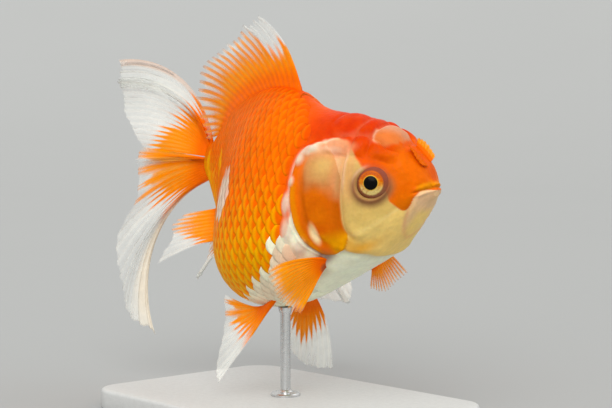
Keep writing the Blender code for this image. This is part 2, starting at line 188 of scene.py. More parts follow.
# Lumps of pale skin along the rear of the gill cover: station, angle, and half sizes.
SKIRT_LUMPS = (
    (25.9, 50.5, 0.9, 2.0), (27.5, 51.5, 1.2, 2.8), (28.6, 56.5, 0.8, 3.6), (29.7, 68.5, 0.6, 2.4),
    (30.6, 79.0, 0.8, 5.0), (30.3, 94.0, 1.1, 7.5), (27.9, 107.0, 1.4, 6.0),
)

# The edges of the crown's lobes, along the head and round it.
CROWN_STATIONS = (6.6, 12.7, 16.8, 23.8)
CROWN_AROUNDS = (-56.0, -36.0, 13.0, 38.0, 62.0)

# Where the orange of the back gives way to the pale skin, a few turning points on a smooth curve:
# the station, and the angle from the back.
ORANGE_LIMIT = (
    (0.0, 84.0), (2.0, 94.0), (4.0, 120.0), (6.0, 100.0), (9.0, 74.0), (14.0, 62.0),
    (18.0, 44.0), (24.0, 43.0), (28.0, 60.0), (30.0, 92.0), (34.0, 100.0), (36.0, 118.0),
    (44.0, 136.0), (54.0, 157.0), (75.0, 172.0), (92.0, 186.0),
)

# How far forward and up each eye looks, and each eye's socket opens, in degrees. Then the socket's
# opening, the raised rim round it, the groove round the rim, the pupil's black, and a distance
# past every rim.
GAZE, SOCKET = (20.0, 2.0), (14.0, -9.0)
OPENING_RADIUS, OPENING_DEPTH = 3.15, 3.0
RIM_RADIUS, RIM_WIDTH, RIM_HEIGHT = 3.75, 0.6, 0.8
GROOVE_RADIUS, GROOVE_WIDTH, GROOVE_DEPTH = 5.7, 0.6, 0.1
PUPIL_BLACK, FAR_AWAY = (0.002, 0.002, 0.002), 99.0

# The heights of the crown's lobes, the gill covers' plates and the lips over the body.
CROWN_HEIGHT, COVER_HEIGHT, LIP_HEIGHT = 1.6, 0.95, 0.3

# The skin's mesh: close rings over the head, wider ones behind, and a low dome over each end.
HEAD_RINGS_TO, HEAD_RING_STEP, REAR_RINGS, RING_POINTS = 32.0, 0.27, 66, 361
DOME_RINGS, FRONT_DOME, REAR_DOME = 6, 0.5, 0.35

# The table of even shares round each ring: it passes the belly's line by a little on both sides.
SHARES = np.linspace(-1.25, 1.25, 251)
TABLE_STEP, RING_REACH = 0.5, 230

# How far apart the points are that give a surface's direction, along the body and round it.
ALONG_STEP, ROUND_STEP = 0.4, 1.5

# The other meshes: points across a scale and its rows, points round an eye, and the segments round
# the rod and the floor.
SCALE_COLUMNS, SCALE_ROWS, EYE_POINTS, ROD_SEGMENTS, FLOOR_SEGMENTS = 7, (0.0, 0.5, 0.8, 1.0), 97, 40, 96

# Scales: the distance between rows at stations, how deep the skin lies under them as a share of
# it, the first and last rings, the stations where a ring holds a third fewer, how far they keep
# from the gill covers and the dorsal fin, their length in rows, their overlap sideways, and the
# size of a scale's place in the baked map.
SCALE_SIZES = (
    (24, 0.85), (32, 0.95), (40, 1.03), (48, 1.08), (56, 1.0), (62, 0.95), (66, 0.9), (74, 0.8),
    (90, 0.7),
)
COAT_SHARE, FIRST_RING, LAST_RING, FEWER_FROM = 0.24, 22.5, BODY_LENGTH - 2.2, (62.0, 72.0)
COVER_CLEARANCE, DORSAL_CLEARANCE = 1.04, 7.0
SCALE_REACH, SCALE_OVERLAP, PATCH_SIZE = 3.4, 1.12, 0.004

# The fins' meshes: columns for each ray, and rows that are sunk in the body, for a thick fin and a
# thin one, with the folds across a fin.
RAY_COLUMNS, FIN_FOLDS = 10, 9.0
THICK_SUNK, THIN_SUNK = (2.2, 1.5, 0.8), (0.9, 0.6, 0.3)

# What a fin has unless its own entry differs. The colours turn from orange to white at limit, a
# share of the way out for shares across, and are ragged there. The webs clear over the span of
# clear. A patch gives its colour, place, half sizes and amount, and a window the same without a
# colour. The edge is torn, the sheet waves, each ray has a ridge, and silk is the white's cover.
# A fin may also give its own web thickness. Its number in the table seeds its variation, and its
# name's ending gives its side.
FIN_DEFAULTS = dict(
    thick=CAD_ROOT_THICKNESS, slot="fin", torn=0.015, ragged=0.1, clear=(0.5, 0.8), wave=0.4,
    ridge=0.14, silk=0.44, patches=(), windows=(),
)
FINS = {
    "fin_dorsal": dict(
        node="dorsal_fin", rows=DORSAL, rays=22, steps=56, torn=0.08, ragged=0.16,
        limit=((0, 0.6), (0.08, 0.44), (0.14, 0.5), (0.17, 1.0), (0.35, 0.94), (0.55, 1.0)),
        clear=(0.38, 0.8), windows=((0.08, 0.72, 0.05, 0.3, 0.6),),
    ),
    "fin_tail_upper_right": dict(
        node="tail_upper_right", rows=TAIL_UPPER_RIGHT, rays=15, steps=60, ragged=0.14,
        limit=((0, 0.3), (0.5, 0.46), (0.8, 0.7), (1, 0.97)),
        clear=(0.8, 1.2), wave=0.6, ridge=0.05, patches=(("pale_pink", 0.0, 0.7, 0.035, 0.4, 0.6),),
    ),
    "fin_tail_upper_left": dict(
        node="tail_upper_left", rows=TAIL_UPPER_LEFT, rays=13, steps=60, ragged=0.2,
        limit=((0.0, 0.6), (0.3, 0.55), (1.0, 0.5)), clear=(0.7, 1.1), wave=0.6, ridge=0.05,
    ),
    "fin_tail_lower_right": dict(
        node="tail_lower_right", rows=TAIL_LOWER_RIGHT, rays=15, steps=72, ragged=0.2,
        limit=((0, 1.0), (0.2, 0.96), (0.3, 0.66), (0.5, 0.38), (1, 0.3)),
        clear=(0.6, 1.1), wave=0.5, ridge=0.06,
        patches=(("fin_ribbon", 1.0, 0.62, 0.17, 0.5, 0.8),),
        windows=((0.62, 0.8, 0.16, 0.3, 0.5),),
    ),
    "fin_tail_lower_left": dict(
        node="tail_lower_left", rows=TAIL_LOWER_LEFT, rays=13, steps=72, ragged=0.2,
        limit=((0.0, 0.34), (0.3, 0.3), (0.6, 0.34), (1.0, 0.3)),
        wave=0.5, ridge=0.04, torn=0.005, silk=0.8,
    ),
    "fin_pectoral_right": dict(
        node="pectoral_fin_right", rows=PECTORAL_RIGHT, rays=14, steps=44, ragged=0.08,
        limit=((0, 1.0), (1, 1.0)), clear=(0.72, 1.1), wave=0.3, torn=0.02, thick=0.9,
        # The dark patch at the root is painted shade where the fin meets the body.
        patches=(("deep_shade", 1.0, 0.0, 0.5, 0.1, 0.6),),
    ),
    "fin_pectoral_left": dict(
        node="pectoral_fin_left", rows=PECTORAL_LEFT, rays=14, steps=44, ragged=0.1,
        limit=((0, 1.0), (1, 1.0)), clear=(0.35, 0.8), wave=0.3, torn=0.03,
    ),
    "fin_pelvic_right": dict(
        node="pelvic_fin_right", rows=PELVIC_RIGHT, rays=9, steps=52, ragged=0.2,
        limit=((0, 0.58), (0.3, 0.4), (0.45, 0.45), (0.7, 0.82), (1, 0.95)),
        clear=(0.6, 1.0), ridge=0.08,
    ),
    "fin_pelvic_left": dict(
        node="pelvic_fin_left", rows=PELVIC_LEFT, rays=9, steps=52, ragged=0.2,
        limit=((0, 0.5), (0.2, 0.3), (0.55, 0.62), (0.7, 0.46), (1, 0.55)),
        clear=(0.6, 1.0), ridge=0.06, silk=0.6,
    ),
    "fin_anal_right": dict(
        node="anal_fin_right", rows=ANAL_RIGHT, rays=9, steps=44, ragged=0.14,
        limit=((0, 0.35), (0.55, 1.0)), clear=(0.5, 0.9), ridge=0.08,
    ),
    "fin_anal_left": dict(
        node="anal_fin_left", rows=ANAL_LEFT, rays=9, steps=44, ragged=0.12,
        limit=((0, 0.5), (0.25, 0.6), (0.5, 0.95)), clear=(0.5, 0.9), web=0.6, silk=0.95,
    ),
    "flap_left": dict(
        node="nostril_flap_left", rows=NOSTRIL_FLAP_LEFT, rays=6, steps=12, thick=0.6,
        limit=((0, 1.0), (1, 1.0)), slot="skin", torn=0.12, wave=0.1, clear=(1.5, 2.0),
    ),
    "flap_right": dict(
        node="nostril_flap_right", rows=NOSTRIL_FLAP_RIGHT, rays=6, steps=12, thick=0.5,
        limit=((0, 1.0), (1, 1.0)), slot="skin", torn=0.12, wave=0.1, clear=(1.5, 2.0),
        patches=(("snout", 0.5, 0.5, 1.5, 1.5, 1.0),),
    ),
}

# The base's corners and its softened edges, and the rod's outline: how far outside its radius at
# heights over the base for the collar, then at heights over its top for the cup.
BASE_CORNER, BASE_TOP_EDGE, BASE_FOOT_EDGE = 8.0, 0.9, 0.4
COLLAR = ((2.4, -0.4), (2.4, 0.5), (2.1, 0.8), (0.5, 1.1), (0.3, 1.4), (-0.1, 1.6))
CUP = ((-0.1, -1.8), (0.3, -1.0), (0.5, 0.0), (0.1, 0.1), (-0.3, -0.4))
CUP_FLOOR, ROD_RISE = -0.6, 0.2

# The heights of the mottle's grain between which a finish changes.
GRAIN = (0.1, 0.6)

# The stage: the target and the camera's distance and clipping in metres, its lens and sensor and
# the floor in millimetres.
# A light has its name, azimuth, elevation, share of the key's strength, spread and colour.
TARGET = (0.0085, -0.0006, 0.0545)
CAMERA_AZIMUTH, CAMERA_ELEVATION, CAMERA_DISTANCE = 48.0, 4.0, 0.45
CAMERA_SENSOR, CAMERA_LENS, CAMERA_CLIP = 36.0, 105.88, (0.01, 20.0)
FLAT_FLOOR, FLOOR_RADIUS, FLOOR_CURVE = 300.0, 1000.0, 2400.0
LIGHTS = (
    ("key", 38.0, 42.0, 1.0, 50.0, (1.0, 0.98, 0.95)),
    ("fill", 140.0, 30.0, 0.3, 60.0, (0.96, 0.98, 1.0)),
)


def smooth(value, low, high):
    """Rises smoothly from 0 to 1 as the value goes from low to high."""
    t = np.clip((value - low) / (high - low), 0.0, 1.0)
    return t * t * (3.0 - 2.0 * t)


def fade(value, low, high):
    """Falls smoothly from 1 to 0 as the value goes from low to high."""
    return 1.0 - smooth(value, low, high)


def between(value, rise, fall):
    """1 between two spans: it rises smoothly over the first and falls over the second."""
    return smooth(value, *rise) * fade(value, *fall)


def bump(value, centre, width):
    """A rounded bump of height 1 around the centre."""
    return np.exp(-(((value - centre) / width) ** 2))


def read_pairs(pairs, at):
    """The second values of the pairs, on straight lines between their first ones."""
    return np.interp(at, *zip(*pairs))


def smooth_rows(rows, at):
    """The rows' values at keys between theirs, the first column, on smooth curves through them."""
    rows = np.array(rows, float)
    at = np.atleast_1d(at)
    keys = rows[:, 0]
    slopes = np.empty_like(rows)
    slopes[1:-1] = (rows[2:] - rows[:-2]) / (keys[2:] - keys[:-2])[:, None]
    slopes[0] = (rows[1] - rows[0]) / (keys[1] - keys[0])
    slopes[-1] = (rows[-1] - rows[-2]) / (keys[-1] - keys[-2])
    i = np.clip(np.searchsorted(keys, at, side="right") - 1, 0, len(rows) - 2)
    span = (keys[i + 1] - keys[i])[:, None]
    t = np.clip((at - keys[i])[:, None] / span, 0.0, 1.0)
    return (
        rows[i] * (2 * t**3 - 3 * t**2 + 1)
        + slopes[i] * span * (t**3 - 2 * t**2 + t)
        + rows[i + 1] * (3 * t**2 - 2 * t**3)
        + slopes[i + 1] * span * (t**3 - t**2)
    )


def heading(station):
    """The spine's heading, in radians from +X towards +Y."""
    neck = (TRUNK_HEADING - HEAD_HEADING) * smooth(station, *NECK_BEND)
    tail = (TAIL_HEADING - TRUNK_HEADING) * smooth(station, *TAIL_BEND)
    return np.radians(HEAD_HEADING + neck + tail)


def spine_table():
    """Plan positions of the spine at even steps, with the rod's station over the origin."""
    count = int(BODY_LENGTH / SPINE_STEP) + 9
    angles = heading((np.arange(count) + 0.5) * SPINE_STEP)
    steps = -SPINE_STEP * np.stack([np.cos(angles), np.sin(angles)], axis=1)
    points = np.concatenate([np.zeros((1, 2)), np.cumsum(steps, axis=0)])
    return points - points[int(ROD_STATION / SPINE_STEP)]


SPINE = spine_table()


def frame_at(station):
    """The spine's places at some stations, and its forward and left directions there."""
    steps = np.arange(len(SPINE)) * SPINE_STEP
    x = np.interp(station, steps, SPINE[:, 0])
    y = np.interp(station, steps, SPINE[:, 1])
    angle = heading(station)
    level = np.zeros_like(angle)
    forward = np.stack([np.cos(angle), np.sin(angle), level], axis=-1)
    left = np.stack([-np.sin(angle), np.cos(angle), level], axis=-1)
    return np.stack([x, y, level + AXIS_HEIGHT], axis=-1), forward, left


def body_points(station, around):
    """Points of the body's surface."""
    station, around = np.broadcast_arrays(np.asarray(station, float), around)
    _, top, level, bottom, half, upper, lower = smooth_rows(BODY, station.ravel()).T
    turn = np.radians(around.ravel())
    across, up = np.sin(turn), np.cos(turn)
    power = 2.0 / np.where(up >= 0, upper, lower)
    reach = np.where(up >= 0, top - level, level - bottom)
    lateral = np.sign(across) * np.abs(across) ** power * half
    height = level + np.sign(up) * np.abs(up) ** power * reach
    place, _, left = frame_at(station.ravel())
    points = place + left * lateral[:, None]
    points[:, 2] += height
    return points.reshape(*station.shape, 3)


def body_normals(station, around):
    """The outward directions of the body's surface."""
    station, around = np.broadcast_arrays(np.asarray(station, float), around)
    along = body_points(station + ALONG_STEP, around) - body_points(station - ALONG_STEP, around)
    round_it = body_points(station, around + ROUND_STEP) - body_points(station, around - ROUND_STEP)
    normal = np.cross(along, round_it)
    normal /= np.linalg.norm(normal, axis=-1, keepdims=True) + 1e-12
    place, _, _ = frame_at(station)
    middle = smooth_rows(BODY, station.ravel())[:, 2].reshape(station.shape)
    outward = body_points(station, around) - place
    outward[..., 2] -= middle
    flip = (normal * outward).sum(axis=-1, keepdims=True) < 0
    return np.where(flip, -normal, normal)


def even_arounds(station, shares):
    """The arounds at even distances round one ring; shares run from -1 to 1 and may pass them."""
    arounds = np.linspace(-RING_REACH, RING_REACH, 2 * RING_REACH + 1)
    ring = body_points(np.full(arounds.shape, float(station)), arounds)
    gaps = np.linalg.norm(np.diff(ring, axis=0), axis=1)
    run = np.concatenate([[0.0], np.cumsum(gaps)])
    run -= run[RING_REACH]
    return np.interp(shares, run / run[RING_REACH + 180], arounds)


def cell_value(x, y, seed):
    """An even pseudo-random number from 0 to 1 for each whole-number cell."""
    return np.modf(np.abs(np.sin(x * 127.1 + y * 311.7 + seed * 74.7) * 43758.5453))[0]


def soft_noise(x, y, seed=0.0):
    """Smooth noise from -1 to 1, with features about one unit across."""
    cell_x, cell_y = np.floor(x), np.floor(y)
    fx, fy = smooth(x - cell_x, 0.0, 1.0), smooth(y - cell_y, 0.0, 1.0)

    def row(j):
        near = cell_value(cell_x, cell_y + j, seed) * (1 - fx)
        return near + cell_value(cell_x + 1, cell_y + j, seed) * fx

    return 2.0 * (row(0) * (1 - fy) + row(1) * fy) - 1.0


def cover_place(station, away):
    """Where a point lies on the gill cover: how far back, how far down, and from its middle."""
    down = (away - COVER_AROUND) / COVER_SPREAD
    back = station - COVER_STATION + COVER_LEAN * down
    back = np.where(back > 0, back / COVER_REAR, back / COVER_FRONT)
    return back, down, np.hypot(back, down)


# The lines of the head's folds: each gives the station for an angle away from the back.
def cheek_fold(away):
    """The fold in front of the gill cover."""
    return 17.3 - 0.0022 * np.clip(away - 76.0, 0.0, 90.0) ** 2


def chin_fold(away):
    """The fold across the throat, with the pale golden chin in front of it."""
    return 20.6 - 7.3 * smooth(away, 96.0, 156.0)


def jaw_line(away):
    """The rear edge of the lower jaw."""
    return 1.6 + (away - 92.0) * 0.065


def coat_depth(station, away):
    """How far the skin lies inside the solid body, under the scales."""
    scaled = smooth(station - read_pairs(COAT_START, away), -0.6, 0.6) * smooth(away, 5.0, 9.0)
    return COAT_SHARE * read_pairs(SCALE_SIZES, station) * scaled


def side_name(side):
    """The word for a side, 1 for left and -1 for right."""
    return "left" if side > 0 else "right"


def eye_frame(side, forward, lift):
    """The middle and radius of an eye, in millimetres, and the way that it points or opens."""
    low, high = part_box("eye_" + side_name(side))
    centre = np.array((low + high) / 2) / MM
    turn = math.radians(HEAD_HEADING + side * (90.0 - forward))
    lift = math.radians(lift)
    outward = (math.cos(turn) * math.cos(lift), math.sin(turn) * math.cos(lift), math.sin(lift))
    return centre, (high[0] - low[0]) / 2 / MM, np.array(outward)


def eye_relief(points):
    """The rim round each eye, the opening inside it, and the distance from each eye's line."""
    height = np.zeros(len(points))
    nearest = np.full(len(points), FAR_AWAY)
    for side in (1, -1):
        centre, _, outward = eye_frame(side, *SOCKET)
        offset = points - centre
        along = offset @ outward
        radius = np.linalg.norm(offset - along[:, None] * outward, axis=1)
        radius = np.where(along > -1.0, radius, FAR_AWAY)
        height += RIM_HEIGHT * bump(radius, RIM_RADIUS, RIM_WIDTH)
        height -= GROOVE_DEPTH * bump(radius, GROOVE_RADIUS, GROOVE_WIDTH)
        height -= OPENING_DEPTH * fade(radius, OPENING_RADIUS - 0.35, OPENING_RADIUS + 0.1)
        nearest = np.minimum(nearest, radius)
    return height, nearest


def mouth_place(points):
    """How far each point lies behind the snout's tip, and its height over the mouth's line."""
    tip, forward, _ = frame_at(np.array(0.0))
    behind = -(points - tip) @ forward
    over = points[:, 2] - AXIS_HEIGHT - (5.3 - 0.42 * behind)
    return behind, over


def crown_cell(value, edges):
    """How far a value lies from the edges of the lobe that holds it: 0 at an edge, 1 midway."""
    edges = np.array(edges)
    i = np.clip(np.searchsorted(edges, value) - 1, 0, len(edges) - 2)
    share = np.clip((value - edges[i]) / (edges[i + 1] - edges[i]), 0.0, 1.0)
    return np.sin(np.pi * share)


def crown_lobes(station, around):
    """The rounded lobes of soft growth on the head: 1 on their tops, 0 in the creases and beyond."""
    station = station + 0.5 * soft_noise(station / 4.0, around / 14.0, 3.0)
    around = around + 4.0 * soft_noise(station / 3.0, around / 20.0, 5.0)
    lobe = crown_cell(station, CROWN_STATIONS) * crown_cell(around, CROWN_AROUNDS)
    return np.sqrt(np.clip(lobe, 0.0, 1.0))


def cover_relief(station, away):
    """The gill covers, each a domed plate with a rim behind it, and the lumps of skin at its rear."""
    back, _, out = cover_place(station, away)
    raised = fade(out, 0.95, 1.01) * smooth(back, -0.95, -0.3)
    height = raised * (COVER_HEIGHT + 0.4 * (1.0 - np.clip(out, 0.0, 1.0) ** 2))
    rear = smooth(back, 0.0, 0.35)
    valley = out - read_pairs(COVER_VALLEY, away)
    height -= 0.4 * rear * bump(valley, 0.0, 0.06) - 0.1 * rear * bump(valley, 0.16, 0.09)
    height -= 0.3 * raised * bump(away, 76.0, 3.0) * smooth(-valley, 0.02, 0.12)
    for lump in SKIRT_LUMPS:
        height += 0.55 * oval(station, away, lump[:2], lump[2:], 0.7)
    margin = rear * smooth(away, 42.0, 52.0) * (away < 122.0)
    return height + 0.4 * bump(out, 1.07, 0.05) * margin


def face_relief(station, away, points):
    """The folds of the cheeks, throat and jaw, and the lips."""
    fold = station - cheek_fold(away)
    span = between(away, (44.0, 56.0), (104.0, 120.0))
    height = span * (0.42 * bump(fold, -1.0, 0.9) - 0.5 * bump(fold, 0.6, 0.5))
    height += 0.25 * bump(fold, 0.1, 0.35) * between(away, (46.0, 54.0), (70.0, 80.0))
    chin = station - chin_fold(away)
    span = smooth(away, 112.0, 122.0)
    height += span * (0.4 * bump(chin, -1.6, 1.5) - 0.45 * bump(chin, 0.5, 0.8))
    jaw = station - jaw_line(away)
    span = between(away, (90.0, 98.0), (130.0, 160.0))
    height += span * (0.16 * bump(jaw, -0.7, 0.6) - 0.18 * bump(jaw, 0.3, 0.5))
    behind, over = mouth_place(points)
    front = fade(behind, 2.1, 3.2)
    lips = bump(over, 0.75, 0.45) + 1.1 * bump(over, -0.8, 0.55)
    height += front * (LIP_HEIGHT * lips - 0.4 * bump(over, 0.0, 0.22))
    bag = oval(station, away, (12.2, 106.0), (3.6, 13.0), 0.7)
    return height + 0.18 * bag


def skin_relief(station, around, points):
    """The height of the skin's folds, lobes and rims over the body's plain surface."""
    away = np.abs(around)
    height = -coat_depth(station, away)
    crown = between(station, (5.0, 8.5), (22.5, 25.0)) * fade(away, 50.0, 62.0)
    height += CROWN_HEIGHT * (crown_lobes(station, around) - 0.5) * crown
    height += face_relief(station, away, points) + cover_relief(station, away)
    # Fleshy roots under the pectoral fins, and the root of the dorsal fin.
    height += 0.8 * bump(station, 22.4, 1.6) * bump(away, 132.0, 13.0)
    ridge = between(station, (37.0, 41.0), (78.0, 83.0))
    height += 0.3 * ridge * bump(around, 0.0, 4.0)
    head = fade(station, 22.0, 26.0)
    height += head * 0.05 * soft_noise(station / 0.9, away / 6.0, 13.0)
    eyes, near_eye = eye_relief(points)
    return height * smooth(near_eye, 4.2, 6.2) + eyes


def paint(made, colour, mask):
    """Lays a colour over the colours where the mask is 1."""
    return made + (np.asarray(colour) - made) * np.clip(mask, 0.0, 1.0)[:, None]


def painted(colours, ground, layers):
    """The ground's colour with each layer's laid over it in turn, where the layer's mask is 1."""
    made = np.asarray(getattr(colours, ground))
    for name, mask in layers:
        made = paint(made, getattr(colours, name), mask)
    return made


def oval(x, y, centre, size, soft=0.3):
    """1 inside an oval patch and 0 outside it, with a soft edge."""
    out = np.hypot((x - centre[0]) / size[0], (y - centre[1]) / size[1])
    return fade(out, 1.0 - soft, 1.0 + soft)


def body_marks(station, around, away, crisp):
    """The pale belly, the orange of the back and sides, and the red of the crown and back, with a painted
    shadow behind the pectoral fins' roots and painted glints on the tail stalk.
    """
    grain = soft_noise(station / 1.6, away / 6.0, 25.0)
    yield "pink", 0.5 * oval(station, away, (31.0, 114.0), (3.4, 11.0), 0.6)
    yield "pink", 0.3 * oval(station, away, (38.0, 142.0), (4.5, 14.0), 0.7)
    # Painted shadow behind the pectoral fins' roots.
    yield "shade", 0.28 * oval(station, away, (24.5, 139.0), (1.8, 7.0), 0.8)
    limit = smooth_rows(ORANGE_LIMIT, station)[:, 1]
    soft = np.where(station > 28.0, 1.0, 2.2) * crisp
    orange = fade(away - limit + 1.5 * grain, -soft, soft)
    yield "orange", orange
    yield "snout", orange * fade(station, 9.0, 15.0)
    low = smooth(away, 70.0, 110.0) * smooth(station, 28.0, 36.0)
    yield "light_orange", 0.75 * low * orange
    yield "light_amber", 0.8 * orange * oval(station, away, (5.0, 108.0), (3.0, 16.0), 0.7)
    red = between(station, (5.0, 11.0), (25.0, 36.0))
    red = red * (1.0 - 0.55 * smooth(away, 34.0, 58.0)) * (0.92 - 0.1 * grain)
    along_back = 0.4 * fade(away, 8.0, 42.0) * fade(station, 55.0, 75.0)
    yield "red", orange * np.maximum(red, along_back)
    # Painted glints: bright gold spots where the tail stalk's scales catch the light.
    glints = (((79.5, 72.0), (1.6, 12.0)), ((68.0, 60.0), (1.3, 6.0)), ((77.5, 88.0), (1.4, 8.0)))
    for centre, size in glints:
        yield "glint_gold", 0.7 * oval(station, away, centre, size, 0.5)
    # A pale strip of bare skin, on the right side only.
    yield "lump", 0.9 * oval(station, around, (50.5, -66.0), (3.6, 10.0), 0.25)
    yield "pale_pink", 0.9 * oval(station, away, (69.0, 160.0), (4.5, 26.0), 0.3)


def crown_marks(station, around, away):
    """The pale patch over the forehead, with a painted highlight along its rear rim, and the pink creases
    between the crown's lobes.
    """
    crease = fade(crown_lobes(station, around), 0.2, 0.55)
    inside = between(station, (9.0, 12.0), (20.0, 23.5)) * fade(away, 34.0, 46.0)
    yield "pink", 0.22 * crease * inside
    # The patch leans: each step round to the right takes its middle further back.
    leant = station + 0.035 * around + 0.25 * soft_noise(station / 1.2, around / 5.0, 27.0)
    centre, size = (9.4, -16.0), (2.7, 24.0)
    patch = oval(leant, around, centre, size, 0.14)
    yield "forehead", patch
    yield "blush", patch * smooth(around + 3.0 * (station - 10.0), -24.0, -6.0)
    # The rim behind the patch's middle is a painted highlight.
    out = np.hypot((leant - centre[0]) / size[0], (around - centre[1]) / size[1])
    rim = bump(out, 0.97, 0.07) * smooth(leant, 9.4, 11.0)
    yield "pale_pink", 0.5 * rim


def face_marks(station, away, points):
    """The golden chin, the folds of the cheeks, the jaw and the lower lip, with painted shade in the
    throat's fold and round the swelling under the eye, and a painted highlight on the cheek's fold.
    """
    chin = station - chin_fold(away)
    golden = smooth(away, 100.0, 112.0) * fade(chin, -0.8, 0.8)
    yield "chin", golden
    yield "gold", 0.85 * golden * bump(chin, -2.6, 2.8) * fade(away, 126.0, 150.0)
    yield "pale_gold", 0.6 * oval(station, away, (11.5, 114.0), (4.5, 12.0), 0.7)
    # Painted shade in the fold across the throat.
    yield "shade", 0.22 * bump(chin, 0.4, 0.9) * smooth(away, 104.0, 114.0)
    # Painted shade round the swelling under the eye.
    bag = np.hypot((station - 11.8) / 4.6, (away - 101.0) / 15.0)
    yield "shade", 0.12 * bump(bag, 1.0, 0.2) * smooth(away, 96.0, 106.0)
    fold = station - cheek_fold(away)
    # A painted highlight on the ridge of the cheek's fold.
    yield "pale_pink", 0.6 * bump(fold, 0.0, 0.5) * between(away, (46.0, 54.0), (70.0, 84.0))
    yield "pink", 0.4 * bump(fold, -1.4, 1.7) * between(away, (46.0, 54.0), (76.0, 94.0))
    behind_fold = between(fold, (0.1, 0.9), (3.0, 5.0)) * smooth(away, 44.0, 52.0)
    yield "pink", 0.5 * behind_fold * fade(away, 66.0, 80.0)
    jaw = station - jaw_line(away)
    yield "lip", 0.75 * fade(jaw, -0.4, 1.6) * between(away, (88.0, 94.0), (140.0, 170.0))
    yield "pink", 0.35 * bump(jaw, 0.3, 0.5) * smooth(away, 94.0, 100.0)
    behind, over = mouth_place(points)
    yield "lip", 0.9 * fade(behind, 1.8, 3.4) * smooth(-over, 0.0, 0.4)


def mouth_marks(points):
    """The golden upper lip, and painted shade along the line of the mouth."""
    behind, over = mouth_place(points)
    near = fade(behind, 1.4, 2.6)
    lip = near * between(over, (-0.2, 0.1), (1.2, 2.0))
    yield "gold", 0.6 * lip
    # Painted shade in the groove between the lips.
    yield "deep_shade", 0.14 * near * bump(over, 0.0, 0.2)


def cover_marks(station, away, right):
    """The gill cover: a pale peach pane over an orange plate, with a golden foot and a rear rim. Painted
    shade lies behind the cheek's fold and in the crease at its foot, with a painted shadow at the pectoral
    fin's root and a painted highlight on the bare pink skin above it.
    """
    back, _, out = cover_place(station, away)
    valley = out - read_pairs(COVER_VALLEY, away)
    grain = soft_noise(station / 2.2, away / 7.0, 29.0)
    yield "pink", 0.9 * oval(station, away, (20.5, 49.0), (4.8, 7.0), 0.35)
    # A painted highlight on the bare pink skin.
    yield "pale_pink", 0.6 * oval(station, away, (21.5, 51.5), (2.4, 2.2), 0.8)
    fold = station - cheek_fold(away)
    inside = smooth(fold, 0.4, 1.0) * fade(out, 0.97, 1.0)
    rear = smooth(back, -0.1, 0.2)
    low = smooth(away + 2.0 * grain + 0.8 * (station - 22.0), 72.0, 82.0)
    yield "amber", inside * smooth(away, 55.0, 62.0)
    yield "light_amber", inside * low * (0.5 + 0.5 * grain)
    # Painted shade beside the cheek's fold.
    yield "amber_shade", 0.7 * inside * low * bump(fold, 1.5, 1.3)
    foot = smooth(away - 0.25 * np.abs(station - 20.0) + 2.0 * grain, 96.0, 107.0)
    yield "gold", 0.9 * inside * low * foot
    pane = inside * (1.0 - low) * smooth(away, 50.0, 56.0)
    yield "peach", pane
    yield "pale_gold", 0.5 * pane * oval(station, away, (22.6, 62.0), (2.6, 9.0), 0.9)
    yield "pink", 0.5 * pane * fade(away, 54.0, 62.0)
    yield "pink", 0.45 * pane * fade(station, 18.5, 21.5)
    # Painted shade behind the cheek's fold.
    yield "shade", 0.55 * pane * bump(fold, 1.2, 0.8)
    rim = inside * rear * smooth(valley, -0.06, 0.06) * smooth(away, 54.0, 61.0)
    yield "rim_orange", rim
    yield "gold", 0.45 * rim * smooth(valley, 0.14, 0.26) * smooth(away, 66.0, 74.0)
    # Painted shade in the valley between the plate and its rim.
    yield "amber_shade", 0.6 * rim * bump(away, 95.0, 8.0) * smooth(-valley, -0.3, -0.1)
    yield "amber_shade", 0.6 * inside * rear * bump(valley, 0.02, 0.09) * smooth(away, 60.0, 72.0)
    yield "gold", 0.7 * inside * rear * bump(out, 0.97, 0.05) * smooth(away, 86.0, 94.0)
    spot = oval(station + 0.12 * (away - 100.0), away, (24.1, 101.0), (0.9, 6.0), 0.7)
    yield "chin", spot * (0.4 + 0.6 * right)
    yield "lump", 0.5 * spot * (0.4 + 0.6 * right)
    crease = read_pairs(COVER_CREASE, away)
    # Painted shade in the crease at the cover's foot.
    yield "deep_shade", 0.6 * bump(station, crease, 0.5) * between(away, (100.0, 108.0), (126.0, 130.0))
    edge = bump(out, 1.03, 0.03) * rear * between(away, (48.0, 54.0), (96.0, 104.0))
    yield "lump", 0.6 * edge
    for lump in SKIRT_LUMPS:
        yield "lump", 0.75 * oval(station, away, lump[:2], lump[2:], 0.5)
    # A painted shadow at the pectoral fin's root.
    yield "deep_shade", 0.75 * oval(station, away, (22.4, 122.0), (2.0, 7.0), 0.8)


def eye_marks(station, away, points):
    """Painted shade at the edge of each eye's socket, with a pale line above it and a band of painted
    shade below.
    """
    _, near_eye = eye_relief(points)
    below = smooth(away, 62.0, 84.0)
    # Painted shade round the socket's edge, wider and darker below.
    edge = bump(near_eye, 3.85 + 0.25 * below, 0.75 + 0.35 * below)
    yield "deep_shade", 0.85 * edge * (0.6 + 0.4 * below)
    above = (1.0 - below) * smooth(station, 11.0, 14.0)
    yield "pale_pink", 0.5 * bump(near_eye, 4.35, 0.35) * above
    # Painted shade below the rim.
    yield "shade", 0.35 * bump(near_eye, 4.7, 0.8) * below


